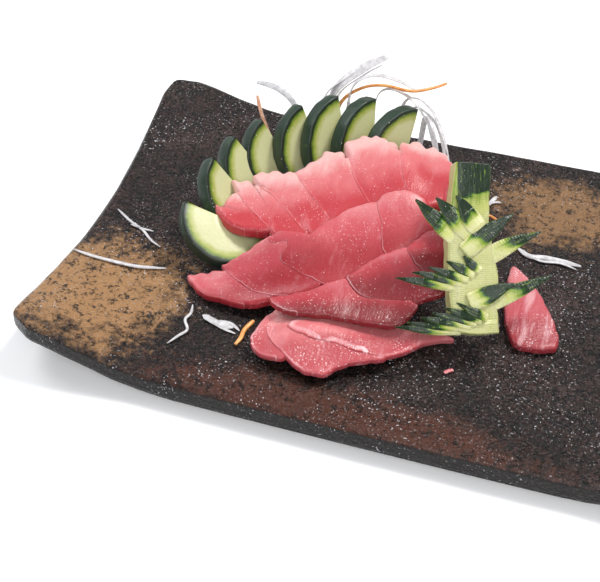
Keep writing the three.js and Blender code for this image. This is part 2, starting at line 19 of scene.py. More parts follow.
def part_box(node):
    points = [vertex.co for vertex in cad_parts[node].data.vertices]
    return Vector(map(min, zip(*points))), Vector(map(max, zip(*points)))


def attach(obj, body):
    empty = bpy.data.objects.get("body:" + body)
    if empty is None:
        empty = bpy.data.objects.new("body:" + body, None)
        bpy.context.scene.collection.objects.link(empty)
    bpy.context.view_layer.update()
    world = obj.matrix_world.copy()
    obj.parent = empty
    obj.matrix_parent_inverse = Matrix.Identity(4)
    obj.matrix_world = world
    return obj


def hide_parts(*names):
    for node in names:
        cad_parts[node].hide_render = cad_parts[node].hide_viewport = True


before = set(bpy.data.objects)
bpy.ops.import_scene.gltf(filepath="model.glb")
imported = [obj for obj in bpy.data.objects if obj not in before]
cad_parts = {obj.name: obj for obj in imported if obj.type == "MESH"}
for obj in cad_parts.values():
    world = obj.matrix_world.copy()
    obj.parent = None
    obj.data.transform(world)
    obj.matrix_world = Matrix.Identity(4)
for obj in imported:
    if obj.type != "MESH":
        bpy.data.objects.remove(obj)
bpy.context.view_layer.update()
LOG = logging.getLogger("sashimi_plate")

MM = 0.001
BODY = "root"
Colour = tuple[float, float, float]
Pair = tuple[float, float]
Rings = tuple[list[np.ndarray], np.ndarray, np.ndarray]
WHITE = (1.0, 1.0, 1.0)


def srgb(red: float, green: float, blue: float) -> tuple[float, float, float, float]:
    """Turns a display colour into the linear colour that shaders take.

    Args:
        red: Red, 0 to 255.
        green: Green, 0 to 255.
        blue: Blue, 0 to 255.

    Returns:
        The linear red, green and blue, and an alpha of 1.
    """
    channels = [value / 255 for value in (red, green, blue)]
    linear = [v / 12.92 if v <= 0.04045 else ((v + 0.055) / 1.055) ** 2.4 for v in channels]
    return (*linear, 1.0)


def smooth_step(low: float, high: float, value: np.ndarray) -> np.ndarray:
    """Eases from 0 at low to 1 at high."""
    t = np.clip((value - low) / (high - low), 0.0, 1.0)
    return t * t * (3 - 2 * t)


def rounded(wave: float, power: float) -> float:
    """A cosine or sine pushed outwards, so that a ring nears a rectangle as its power nears 0."""
    return math.copysign(abs(wave) ** power, wave)


# ---------------------------------------------------------------- shader expressions
class Wire:
    """A node's output that takes part in Python expressions."""

    def __init__(self, graph: "Graph", socket: bpy.types.NodeSocket) -> None:
        """Keeps a socket.

        Args:
            graph: The graph that new nodes go into.
            socket: The socket.
        """
        self.graph = graph
        self.socket = socket

    def _math(self, operation: str, first: object, second: object) -> "Wire":
        """Adds a Math node."""
        return self.graph.add("ShaderNodeMath", {"operation": operation}, {0: first, 1: second})

    def __add__(self, other: object) -> "Wire":
        """Sum."""
        return self._math("ADD", self, other)

    __radd__ = __add__

    def __sub__(self, other: object) -> "Wire":
        """Difference."""
        return self._math("SUBTRACT", self, other)

    def __rsub__(self, other: object) -> "Wire":
        """Difference from a number."""
        return self._math("SUBTRACT", other, self)

    def __mul__(self, other: object) -> "Wire":
        """Product."""
        return self._math("MULTIPLY", self, other)

    __rmul__ = __mul__

    def __abs__(self) -> "Wire":
        """Size without sign."""
        return self._math("ABSOLUTE", self, 0.0)

    def most(self, other: object) -> "Wire":
        """The larger of this and another."""
        return self._math("MAXIMUM", self, other)

    def band(self, low: float, high: float) -> "Wire":
        """Eases from 0 at low to 1 at high, or from 1 to 0 where low is the larger.

        Args:
            low: Value at which the result is 0.
            high: Value at which the result is 1.

        Returns:
            The eased wire.
        """
        settings = {"interpolation_type": "SMOOTHSTEP"}
        if low > high:
            ends = {"From Min": high, "From Max": low, "To Min": 1.0, "To Max": 0.0}
        else:
            ends = {"From Min": low, "From Max": high, "To Min": 0.0, "To Max": 1.0}
        return self.graph.add("ShaderNodeMapRange", settings, {"Value": self, **ends})


class Graph:
    """The node tree of one material, with its Principled shader."""

    def __init__(self, name: str) -> None:
        """Makes the material and empties its tree.

        Args:
            name: The material's name.
        """
        self.material = bpy.data.materials.new(name)
        self.material.use_nodes = True
        self.tree = self.material.node_tree
        self.tree.nodes.clear()
        self.shader = self.tree.nodes.new("ShaderNodeBsdfPrincipled")
        output = self.tree.nodes.new("ShaderNodeOutputMaterial")
        self.tree.links.new(self.shader.outputs[0], output.inputs["Surface"])

    def add(self, kind: str, settings: dict | None = None, inputs: dict | None = None,
            output: int | str = 0) -> Wire:
        """Adds a node.

        Args:
            kind: The node's type.
            settings: Its properties, set first.
            inputs: Values or wires of its sockets, by name or place.
            output: The output that is wanted.

        Returns:
            That output as a wire.
        """
        node = self.tree.nodes.new(kind)
        for key, value in (settings or {}).items():
            setattr(node, key, value)
        for key, value in (inputs or {}).items():
            self.plug(node.inputs[key], value)
        return Wire(self, node.outputs[output])

    def plug(self, socket: bpy.types.NodeSocket, value: object) -> None:
        """Links a wire to a socket, or sets the socket's own value.

        Args:
            socket: The socket.
            value: The wire, or the value.
        """
        if isinstance(value, Wire):
            self.tree.links.new(value.socket, socket)
        else:
            socket.default_value = value

    def set(self, **inputs: object) -> None:
        """Sets or links the Principled shader's sockets, with _ for each space in a name."""
        for key, value in inputs.items():
            self.plug(self.shader.inputs[key.replace("_", " ")], value)

    def place(self, scale: Colour = (1, 1, 1), turn: Colour = (0, 0, 0), shift: Colour = (0, 0, 0)) -> Wire:
        """Object coordinates, stretched, turned and moved.

        Args:
            scale: Stretch along each axis.
            turn: Turn about each axis, in radians.
            shift: Move along each axis.

        Returns:
            The coordinates.
        """
        spot = self.add("ShaderNodeTexCoord", output="Object")
        return self.add("ShaderNodeMapping", {"vector_type": "POINT"},
                        {"Vector": spot, "Scale": scale, "Rotation": turn, "Location": shift})

    def attribute(self, name: str, output: str = "Fac") -> Wire:
        """A value stored on the mesh's points."""
        return self.add("ShaderNodeAttribute", {"attribute_name": name}, output=output)

    def noise(self, size: float, detail: float = 3.0, roughness: float = 0.55, at: Wire | None = None,
              distortion: float = 0.0) -> Wire:
        """Soft noise from 0 to 1.

        Args:
            size: Size of its largest blots, in metres.
            detail: Number of finer layers.
            roughness: Strength of the finer layers.
            at: Coordinates, or None for the object's own.
            distortion: How far the blots are bent.

        Returns:
            The noise.
        """
        where = at or self.place()
        return self.add("ShaderNodeTexNoise", None, {
            "Vector": where, "Scale": 1 / size, "Detail": detail, "Roughness": roughness,
            "Distortion": distortion})

    def cells(self, size: float) -> Wire:
        """Distance to the nearest scattered point, in cell sizes."""
        return self.add("ShaderNodeTexVoronoi", {"feature": "F1"},
                        {"Vector": self.place(), "Scale": 1 / size}, "Distance")

    def mix(self, first: object, second: object, share: object) -> Wire:
        """Blends two colours."""
        return self.add("ShaderNodeMix", {"data_type": "RGBA"}, {0: share, 6: first, 7: second}, 2)

    def relief(self, height: Wire, depth: float) -> Wire:
        """The normal, bumped by a height from 0 to 1 that stands for a depth in metres."""
        return self.add("ShaderNodeBump", None, {"Height": height, "Strength": 1.0, "Distance": depth})

    def sparkle(self, size: float, reach: float, amount: Wire) -> Wire:
        """A mask of tiny dots, where wet glints are painted into the colour."""
        return self.cells(size).band(reach, reach * 0.4) * amount


# ---------------------------------------------------------------- finishes
@dataclass(frozen=True)
class StonewareFinish:
    """Dark mottled gloss glaze with tan patches and a pitted skin, with painted glints and painted shade on
    its sides and underside.
    """

    slot: str = "stoneware"
    black: tuple = srgb(9, 6, 6)
    brown: tuple = srgb(46, 31, 27)
    grey: tuple = srgb(74, 58, 56)
    tan: tuple = srgb(172, 130, 88)
    rust: tuple = srgb(84, 46, 32)
    # painted shade colour: near-black for faces that turn away from up, the side walls and underside
    under: tuple = srgb(16, 13, 12)
    crumb: tuple = srgb(104, 88, 84)
    # painted glint colour: white specks painted into the glaze where light would glint
    painted_glint: tuple = srgb(215, 215, 222)
    front_patch: tuple[Colour, Colour] = ((-0.128, -0.06, 0.013), (0.034, 0.032, 0.03))
    back_patch: tuple[Colour, Colour] = ((0.06, 0.055, 0.013), (0.027, 0.022, 0.03))
    rust_patch: tuple[Colour, Colour] = ((-0.01, -0.09, 0.013), (0.075, 0.014, 0.03))
    tan_blot: float = 0.0045
    rust_blot: float = 0.003
    relief: float = 0.0011

    def patch(self, graph: Graph, place: tuple[Colour, Colour], size: float) -> Wire:
        """A speckled patch of another glaze.

        Args:
            graph: The material's nodes.
            place: Middle of the patch, and half its size along each axis.
            size: Size of the blots at its fading edge.

        Returns:
            Its mask.
        """
        centre, reach = place
        scale = tuple(1 / r for r in reach)
        shift = tuple(-c / r for c, r in zip(centre, reach))
        away = graph.add("ShaderNodeVectorMath", {"operation": "LENGTH"},
                         {0: graph.place(scale=scale, shift=shift)}, "Value")
        speckle = graph.noise(size, 5.0, 0.75)
        broad = graph.noise(size * 5, 3.0)
        return (1.62 - away + (speckle - 0.5) * 2.0 + (broad - 0.5) * 1.5).band(0.25, 1.0)

    def make(self) -> bpy.types.Material:
        """Builds the material.

        Returns:
            The material.
        """
        graph = Graph("stoneware_glaze")
        mottle = graph.noise(0.0036, 6.0, 0.75, distortion=0.4)
        fine = graph.noise(0.0013, 4.0, 0.7)
        broad = graph.noise(0.04, 3.0, 0.5)
        clouds = mottle * 0.7 + fine * 0.5 + broad * 0.15
        ground = graph.mix(self.black, self.brown, clouds.band(0.62, 0.78))
        ground = graph.mix(ground, self.grey, (fine + (broad - 0.5) * 0.5).band(0.57, 0.66) * 0.65)
        for colour, place, blot, strength in ((self.tan, self.front_patch, self.tan_blot, 0.85),
                                              (self.tan, self.back_patch, self.tan_blot, 0.55),
                                              (self.rust, self.rust_patch, self.rust_blot, 0.7)):
            ground = graph.mix(ground, colour, self.patch(graph, place, blot) * strength)
        pits = (mottle * 0.75 + fine * 0.35).band(0.54, 0.46)
        ground = graph.mix(ground, self.black, pits * 0.9)
        # Painted shade: the rim's rounding, the side walls and the underside darken towards the under colour
        # as they turn away from up.
        normal = graph.add("ShaderNodeNewGeometry", output="Normal")
        level = graph.add("ShaderNodeSeparateXYZ", None, {0: normal}, 2)
        ground = graph.mix(self.under, ground, level.band(0.3, 0.85))
        # Grey speckle of the glaze, then white specks in clusters that are painted glints.
        gather = graph.noise(0.022, 3.0, 0.6).band(0.42, 0.6)
        speckle_and_glint_noise = graph.noise(0.0009, 2.0, 0.5)
        ground = graph.mix(ground, self.crumb, speckle_and_glint_noise.band(0.6, 0.66) * 0.4)
        ground = graph.mix(ground, self.painted_glint, speckle_and_glint_noise.band(0.66, 0.7) * gather * 0.9)
        bumps = graph.noise(0.0015, 3.0, 0.65) + graph.noise(0.006, 2.0, 0.5) * 0.6
        bumped = graph.relief(bumps, self.relief)
        graph.set(Base_Color=ground, Roughness=graph.noise(0.004, 2.0).band(0.2, 0.8) * 0.25 + 0.16,
                  Normal=bumped, Coat_Weight=0.1, Coat_Roughness=0.12, Specular_IOR_Level=0.25)
        return graph.material


@dataclass(frozen=True)
class TunaFinish:
    """Moist red fish: pale frayed tops, deep red towards the overlaps (partly painted light and shade),
    white sinew and tiny painted glints.
    """

    slot: str = "tuna"
    name: str = "tuna_flesh"
    pale: tuple = srgb(212, 142, 142)
    pink: tuple = srgb(208, 96, 106)
    red: tuple = srgb(178, 44, 56)
    sinew: tuple = srgb(232, 186, 190)
    glint: tuple = srgb(255, 236, 236)
    painted_glint_amount: float = 0.5
    sinew_width: float = 0.35
    frost: float = 0.3
    relief: float = 0.00025
    dots: float = 0.24
    streaks: float = 0.12
    grain_turn: float = 0.9
    bands: Colour = (0.3, 0.66, 0.98)

    def make(self) -> bpy.types.Material:
        """Builds the material, which reads the slices' rim, fade and sinew values.

        Returns:
            The material.
        """
        graph = Graph(self.name)
        rim = graph.attribute("rim")
        left = graph.attribute("left")
        fade = graph.attribute("fade")
        sinew = graph.attribute("sinew")
        mottle = graph.noise(0.011, 4.0, 0.5)
        along = graph.place(scale=(1.0, 0.1, 1.0), turn=(0, 0, self.grain_turn))
        fibre = graph.noise(0.0034, 4.0, 0.65, along)
        # Painted light and shade, partly the flesh's own colour: paler towards each slice's lit top, deep
        # red towards the overlaps, where the next row shades it.
        depth = fade + (mottle - 0.5) * 0.3 + (fibre - 0.5) * 0.16
        low, middle, high = self.bands
        flesh = graph.mix(self.red, self.pink, depth.band(low, middle))
        flesh = graph.mix(flesh, self.pale, depth.band(middle, high))
        frayed = rim + (graph.noise(0.002, 4.0, 0.65) - 0.5) * 1.6
        flesh = graph.mix(flesh, self.pale, frayed.band(1.5, 0.1) * depth.band(0.6, 0.85) * self.frost)
        wander = left + (graph.noise(0.012, 2.0) - 0.5) * 0.8
        line = abs(wander - self.sinew_width - 0.2).band(self.sinew_width, self.sinew_width * 0.2)
        broken = graph.noise(0.016, 2.0).band(0.4, 0.6) + 0.25
        flesh = graph.mix(flesh, self.sinew, line * sinew * broken)
        streak = graph.noise(0.0045, 3.0, 0.6, graph.place(scale=(1.0, 0.14, 1.0)))
        flesh = graph.mix(flesh, self.sinew, streak.band(0.55, 0.72) * self.streaks)
        # Painted glints: white dots in clusters, mixed into the flesh colour.
        gather = graph.noise(0.014, 3.0, 0.6).band(0.42, 0.7)
        large = graph.sparkle(0.0027, 0.13, gather.band(-0.5, 0.6))
        glints = graph.sparkle(0.0011, self.dots, gather).most(large)
        flesh = graph.mix(flesh, self.glint, glints * self.painted_glint_amount)
        bumped = graph.relief(graph.noise(0.0009, 2.0, 0.5) * 0.35 + fibre, self.relief)
        graph.set(Base_Color=flesh, Roughness=graph.noise(0.006, 2.0) * 0.2 + 0.3, Normal=bumped,
                  Subsurface_Weight=0.35, Subsurface_Radius=(1.0, 0.4, 0.32), Subsurface_Scale=0.003,
                  Coat_Weight=0.08, Coat_Roughness=0.2)
        return graph.material


@dataclass(frozen=True)
class CucumberFinish:
    """Cut cucumber: a dark rind line, yellow-green under it, then pale moist flesh."""

    slot: str = "cucumber"
    skin: tuple = srgb(30, 52, 38)
    skin_pale: tuple = srgb(92, 122, 74)
    line: tuple = srgb(10, 30, 10)
    green: tuple = srgb(98, 124, 30)
    yellow: tuple = srgb(160, 168, 78)
    flesh: tuple = srgb(196, 197, 150)
    ray: tuple = srgb(196, 196, 120)
    glint: tuple = srgb(255, 255, 240)

    def make(self) -> bpy.types.Material:
        """Builds the material, which reads each slice's own coordinates in millimetres.

        Returns:
            The material.
        """
        graph = Graph("cucumber_cut")
        spot = graph.attribute("spot", "Vector")
        depth = graph.attribute("rind")
        wander = depth + (graph.noise(0.0035, 4.0, 0.65) - 0.5) * 1.9
        cut = graph.mix(self.line, self.green, wander.band(1.2, 2.3))
        cut = graph.mix(cut, self.yellow, wander.band(2.0, 3.8))
        cut = graph.mix(cut, self.flesh, (wander + (graph.noise(0.007, 3.0) - 0.5) * 2).band(3.2, 6.4))
        rays = graph.noise(0.9, 3.0, 0.6, spot).band(0.55, 0.75)
        cut = graph.mix(cut, self.ray, rays * wander.band(5.0, 8.0) * 0.4)
        # Painted glints: white dots mixed into the cut face's colour.
        glints = graph.sparkle(0.0022, 0.14, graph.noise(0.01, 2.0).band(0.4, 0.6))
        cut = graph.mix(cut, self.glint, glints * 0.7)
        blot = graph.noise(0.005, 4.0, 0.65)
        skin = graph.mix(self.skin, self.skin_pale, blot.band(0.56, 0.72) * 0.5)
        skin = graph.mix(skin, self.line, graph.noise(0.0025, 3.0).band(0.6, 0.72) * 0.6)
        outside = graph.attribute("skin")
        colour = graph.mix(cut, skin, outside.band(0.35, 0.65))
        bumped = graph.relief(graph.noise(0.0016, 3.0) + graph.noise(0.005, 2.0) * 0.8, 0.00012)
        graph.set(Base_Color=colour, Roughness=graph.noise(0.005, 2.0) * 0.2 + 0.38, Normal=bumped,
                  Subsurface_Weight=0.2, Subsurface_Radius=(0.7, 1.0, 0.3), Subsurface_Scale=0.002,
                  Coat_Weight=0.12, Coat_Roughness=0.15)
        return graph.material


@dataclass(frozen=True)
class FirFinish:
    """The garnish: dark rind on its tips, a green band, then pale flesh."""

    slot: str = "fir"
    skin: tuple = srgb(18, 42, 18)
    skin_green: tuple = srgb(44, 88, 24)
    green: tuple = srgb(122, 150, 38)
    flesh: tuple = srgb(190, 197, 112)
    pale: tuple = srgb(214, 214, 158)
    glint: tuple = srgb(250, 255, 240)

    def make(self) -> bpy.types.Material:
        """Builds the material, which reads the garnish's rind value (1 on skin) and its grain.

        Returns:
            The material.
        """
        graph = Graph("cucumber_carved")
        rind = graph.attribute("rind")
        grain = graph.attribute("grain", "Vector")
        streak = graph.noise(1.3, 3.0, 0.6, grain)
        line = graph.noise(0.55, 2.0, 0.5, grain)
        depth = rind + (streak - 0.5) * 0.45 * rind.band(0.0, 0.3)
        depth = depth + (graph.noise(0.004, 3.0) - 0.5) * 0.1
        colour = graph.mix(self.pale, self.flesh, (depth + streak * 0.25).band(0.0, 0.32))
        colour = graph.mix(colour, self.green, depth.band(0.18, 0.5))
        colour = graph.mix(colour, self.skin_green, depth.band(0.48, 0.66))
        colour = graph.mix(colour, self.skin, depth.band(0.6, 0.82))
        # Painted highlights: lighter green lines along the grain of the dark leaf tips.
        colour = graph.mix(colour, self.green, line.band(0.6, 0.7) * depth.band(0.7, 0.9) * 0.55)
        # Painted glints: white dots mixed into the garnish's colour.
        glints = graph.sparkle(0.0016, 0.17, graph.noise(0.01, 2.0).band(0.45, 0.6))
        colour = graph.mix(colour, self.glint, glints * 0.5)
        bumped = graph.relief(graph.noise(0.0014, 3.0) + streak + line * 0.5, 0.00025)
        graph.set(Base_Color=colour, Roughness=graph.noise(0.005, 2.0) * 0.2 + 0.24, Normal=bumped,
                  Subsurface_Weight=0.2, Subsurface_Radius=(0.7, 1.0, 0.3), Subsurface_Scale=0.002,
                  Coat_Weight=0.15, Coat_Roughness=0.15)
        return graph.material


@dataclass(frozen=True)
class ShredFinish:
    """Moist root shreds, a little see-through, with lengthwise grain."""

    slot: str
    name: str
    light: tuple
    dark: tuple
    clarity: float = 0.0

    def make(self) -> bpy.types.Material:
        """Builds the material.

        Returns:
            The material.
        """
        graph = Graph(self.name)
        blot = graph.noise(0.003, 4.0, 0.6)
        colour = graph.mix(self.dark, self.light, blot.band(0.3, 0.62))
        # Painted glints: white dots mixed into the shreds' colour.
        glints = graph.sparkle(0.0018, 0.2, graph.noise(0.008, 2.0).band(0.45, 0.6))
        colour = graph.mix(colour, srgb(255, 255, 255), glints * 0.6)
        bumped = graph.relief(graph.noise(0.0009, 3.0), 0.00025)
        veil = graph.noise(0.0035, 3.0, 0.6, graph.place(scale=(1.0, 1.0, 0.5))).band(0.35, 0.62)
        graph.set(Base_Color=colour, Roughness=graph.noise(0.004, 2.0) * 0.2 + 0.2, Normal=bumped,
                  Alpha=veil * self.clarity + (1 - self.clarity),
                  Subsurface_Weight=0.4, Subsurface_Radius=WHITE, Subsurface_Scale=0.0015,
                  Coat_Weight=0.2, Coat_Roughness=0.12)
        return graph.material


DAIKON = ShredFinish("daikon", "daikon_shred", srgb(236, 234, 232), srgb(190, 182, 184))
CLEAR_DAIKON = ShredFinish("daikon", "daikon_shred_clear", srgb(218, 217, 219), srgb(190, 186, 190), 0.14)
CARROT = ShredFinish("carrot", "carrot_shred", srgb(238, 168, 96), srgb(204, 122, 62))
# A darker, browner copy of the carrot colour for the shred at the back-left: partly painted shade, partly a
# drier shred.
SHADED_DRY_CARROT = ShredFinish("carrot", "carrot_shred_shaded_dry", srgb(198, 148, 118), srgb(164, 110, 84))
TUNA_SCRAP = ShredFinish("tuna", "tuna_scrap", srgb(222, 140, 144), srgb(184, 78, 88))


class Tint(Enum):
    """The tuna's colourings, from the pale back row to the dark low slices; the paler and darker rows are
    partly painted light and shade.
    """

    BACK = TunaFinish(name="tuna_back", pale=srgb(220, 172, 168), pink=srgb(206, 108, 112),
                      red=srgb(184, 50, 60), frost=0.8, bands=(0.36, 0.64, 0.9), relief=0.0003)
    MIDDLE = TunaFinish(name="tuna_middle", pale=srgb(208, 120, 124), pink=srgb(192, 76, 86),
                        red=srgb(160, 38, 48), relief=0.0003)
    LOW = TunaFinish(name="tuna_low", pale=srgb(196, 96, 104), pink=srgb(176, 58, 68),
                     red=srgb(128, 26, 34), painted_glint_amount=0.7, relief=0.0004, dots=0.28)
    FRONT = TunaFinish(name="tuna_front", pale=srgb(222, 150, 148), pink=srgb(208, 112, 116),
                       red=srgb(180, 72, 80), painted_glint_amount=0.8, sinew_width=0.6, relief=0.0005, dots=0.34,
                       streaks=0.3)
    BANDED = replace(FRONT, name="tuna_banded", sinew_width=1.4)
    RIGHT = TunaFinish(name="tuna_right", pale=srgb(204, 118, 124), pink=srgb(190, 84, 94),
                       red=srgb(158, 48, 58), painted_glint_amount=0.85, relief=0.0005, dots=0.36, streaks=0.55,
                       bands=(0.1, 0.45, 0.9))


# ---------------------------------------------------------------- piece helpers
def finish_piece(name: str, bm: bmesh.types.BMesh, material: bpy.types.Material,
                 nodes: tuple[str, ...] = (), rounds: int = 0) -> bpy.types.Object:
    """Turns a bmesh into a piece of the object.

    Args:
        name: The piece's name.
        bm: Its mesh, which is freed.
        material: Its material.
        nodes: CAD nodes that it stands for.
        rounds: Levels of a Subdivision Surface modifier.

    Returns:
        The piece.
    """
    mesh = bpy.data.meshes.new(name)
    bm.to_mesh(mesh)
    bm.free()
    mesh.shade_smooth()
    piece = bpy.data.objects.new(name, mesh)
    bpy.context.scene.collection.objects.link(piece)
    piece.data.materials.append(material)
    if rounds:
        modifier = piece.modifiers.new("rounding", "SUBSURF")
        modifier.levels = rounds
        modifier.render_levels = rounds
    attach(piece, BODY)
    if nodes:
        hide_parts(*nodes)
    LOG.info("%s: %d faces", name, len(mesh.polygons))
    return piece


def merged_copy(node: str) -> bmesh.types.BMesh:
    """A CAD node's mesh with its loose triangles joined.

    Args:
        node: The node's name.

    Returns:
        The merged copy.
    """
    bm = bmesh.new()
    bm.from_mesh(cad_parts[node].data)
    bmesh.ops.remove_doubles(bm, verts=bm.verts, dist=1e-6)
    return bm


def spline_points(points: np.ndarray, count: int, closed: bool = True) -> np.ndarray:
    """Evenly spaced points along a Catmull-Rom curve.

    Args:
        points: Its knots, one a row.
        count: Number of points wanted.
        closed: Whether the curve comes back to its first knot.

    Returns:
        The points, one a row.
    """
    fine = 12
    t = np.arange(fine)[:, None] / fine
    last = len(points) - 1
    parts = []
    for i in range(len(points) if closed else last):
        places = [(i + k) % len(points) if closed else min(max(i + k, 0), last) for k in (-1, 0, 1, 2)]
        a, b, c, d = points[places]
        parts.append(0.5 * (2 * b + (c - a) * t + (2 * a - 5 * b + 4 * c - d) * t ** 2
                            + (3 * b - a - 3 * c + d) * t ** 3))
    line = np.vstack([*parts, points[:1] if closed else points[-1:]])
    along = np.concatenate([[0], np.cumsum(np.linalg.norm(np.diff(line, axis=0), axis=1))])
    wanted = np.linspace(0, along[-1], count, endpoint=not closed)
    return np.column_stack([np.interp(wanted, along, line[:, k]) for k in range(points.shape[1])])


def point_values(bm: bmesh.types.BMesh, name: str, values: np.ndarray) -> None:
    """Stores a number on each point, for the shaders.

    Args:
        bm: The mesh.
        name: The name that the shaders read.
        values: A number for each of its points, in order.
    """
    layer = bm.verts.layers.float.get(name) or bm.verts.layers.float.new(name)
    for vertex, value in zip(bm.verts, values):
        vertex[layer] = float(value)


def loft(bm: bmesh.types.BMesh, rings: list[np.ndarray]) -> list[bmesh.types.BMVert]:
    """Grows a closed solid through rings of equal length.

    Args:
        bm: The mesh that it goes into.
        rings: The rings' points in order, one ring an array.

    Returns:
        Its points, ring by ring.
    """
    cap = bm.faces.new([bm.verts.new(spot) for spot in rings[0]])
    placed = list(cap.verts)
    for number, ring in enumerate(rings[1:]):
        grown = bmesh.ops.extrude_face_region(bm, geom=[cap], use_keep_orig=number == 0)
        cap = next(part for part in grown["geom"] if isinstance(part, bmesh.types.BMFace))
        for vertex, spot in zip(cap.verts, ring):
            vertex.co = spot
        placed += cap.verts
    return placed


# ---------------------------------------------------------------- what the slices lie on
class Support:
    """Height of whatever lies under the next slice, on a square grid."""

    def __init__(self, low: Pair = (-0.152, -0.09), high: Pair = (0.09, 0.09),
                 step: float = 0.0008) -> None:
        """Starts an empty grid.

        Args:
            low: Its lowest corner.
            high: Its highest corner.
            step: Size of a cell.
        """
        self.low, self.step = low, step
        self.xs = np.arange(low[0], high[0], step)
        self.ys = np.arange(low[1], high[1], step)
        self.heights = np.zeros((len(self.ys), len(self.xs)))

    def raise_to(self, bm: bmesh.types.BMesh) -> None:
        """Raises the grid to the upper faces of a mesh.

        Args:
            bm: A mesh of triangles, which is freed.
        """
        for face in bm.faces:
            if face.normal.z <= 1e-3:
                continue
            a, b, c = (np.array(v.co) for v in face.verts[:3])
            low = np.minimum(np.minimum(a, b), c)
            high = np.maximum(np.maximum(a, b), c)
            i0, j0 = (max(0, int((low[k] - self.low[k]) / self.step)) for k in (0, 1))
            i1 = min(len(self.xs), int((high[0] - self.low[0]) / self.step) + 2)
            j1 = min(len(self.ys), int((high[1] - self.low[1]) / self.step) + 2)
            if i0 >= i1 or j0 >= j1:
                continue
            x, y = np.meshgrid(self.xs[i0:i1], self.ys[j0:j1])
            area = (b[0] - a[0]) * (c[1] - a[1]) - (c[0] - a[0]) * (b[1] - a[1])
            v = ((x - a[0]) * (c[1] - a[1]) - (c[0] - a[0]) * (y - a[1])) / area
            w = ((b[0] - a[0]) * (y - a[1]) - (x - a[0]) * (b[1] - a[1])) / area
            z = a[2] + v * (b[2] - a[2]) + w * (c[2] - a[2])
            inside = (v > -0.05) & (w > -0.05) & (v + w < 1.05)
            block = self.heights[j0:j1, i0:i1]
            block[inside] = np.maximum(block[inside], z[inside])
        bm.free()

    def sample(self, grid: np.ndarray, x: np.ndarray, y: np.ndarray) -> np.ndarray:
        """Reads a grid between its cells.

        Args:
            grid: The grid.
            x: Places along X.
            y: Places along Y.

        Returns:
            The grid's values there.
        """
        u = np.clip((x - self.low[0]) / self.step, 0, len(self.xs) - 1.001)
        v = np.clip((y - self.low[1]) / self.step, 0, len(self.ys) - 1.001)
        i, j = u.astype(int), v.astype(int)
        fu, fv = u - i, v - j
        return ((grid[j, i] * (1 - fu) + grid[j, i + 1] * fu) * (1 - fv)
                + (grid[j + 1, i] * (1 - fu) + grid[j + 1, i + 1] * fu) * fv)

    def drape(self, inside: np.ndarray, lowest: np.ndarray, gap: float, rounds: int) -> np.ndarray:
        """Lets a soft sheet down on the grid.

        Args:
            inside: The cells that the sheet covers.
            lowest: Heights that it stays above.
            gap: How far it stays above the grid.
            rounds: How often it is eased. More make it stiffer.

        Returns:
            The sheet as a grid.
        """
        floor = np.where(inside, np.maximum(self.heights + gap, lowest), -1.0)
        sheet = floor
        for _ in range(rounds):
            sheet = np.where(inside, np.maximum(blurred(sheet, inside, 1), floor), -1.0)
        return sheet


def blurred(grid: np.ndarray, inside: np.ndarray, rounds: int) -> np.ndarray:
    """Evens out a grid without reading past a mask.

    Args:
        grid: The grid.
        inside: The cells that count.
        rounds: How often it is evened out.

    Returns:
        The smoother grid, unchanged past the mask.
    """
    share = inside.astype(float)
    shifts = [(axis, shift) for axis in (0, 1) for shift in (-4, -2, -1, 1, 2, 4)]
    weight = np.maximum(sum(np.roll(share, shift, axis) for axis, shift in shifts), 1e-9)
    for _ in range(rounds):
        total = sum(np.roll(grid * share, shift, axis) for axis, shift in shifts)
        grid = np.where(inside, total / weight, grid)
    return grid


# ---------------------------------------------------------------- plate
@dataclass
class Plate:
    """The stoneware plate: the CAD form with a rounder rim and an uneven hand-made skin."""

    rounds: int = 1
    cuts: int = 2
    unevenness: float = 0.0003
    blot: float = 0.016

    def build(self) -> bpy.types.Object:
        """Makes and dresses the plate.

        Returns:
            The piece.
        """
        bm = merged_copy("plate")
        bmesh.ops.join_triangles(bm, faces=bm.faces, angle_face_threshold=0.7, angle_shape_threshold=3.0)
        bmesh.ops.subdivide_edges(bm, edges=bm.edges, cuts=self.cuts, use_grid_fill=True, smooth=0.0)
        for vertex in bm.verts:
            if vertex.co.z > 0.003:
                wave = noise.noise(vertex.co / self.blot) + 0.5 * noise.noise(vertex.co / (self.blot / 3))
                vertex.co += vertex.normal * (self.unevenness * (wave - 0.9))
        finish = StonewareFinish()
        return finish_piece("stoneware_plate", bm, finish.make(), ("plate",), self.rounds)


# ---------------------------------------------------------------- cucumber fan
@dataclass(frozen=True)
class Placing:
    """Where a half-slice stands: the middle of its cut face in mm, and its turns in degrees."""

    at: Colour
    turn: float
    lean: float
    roll: float
    radius: float
    thickness: float = 6.8
    wave: float = 0.25

    def matrix(self) -> Matrix:
        """The slice's own frame in the part's frame.

        Returns:
            The frame's matrix.
        """
        turns = (("Z", self.turn), ("X", 90 - self.lean), ("Z", self.roll))
        matrix = Matrix.Translation(Vector(self.at) * MM)
        for axis, angle in turns:
            matrix = matrix @ Matrix.Rotation(math.radians(angle), 4, axis)
        return matrix


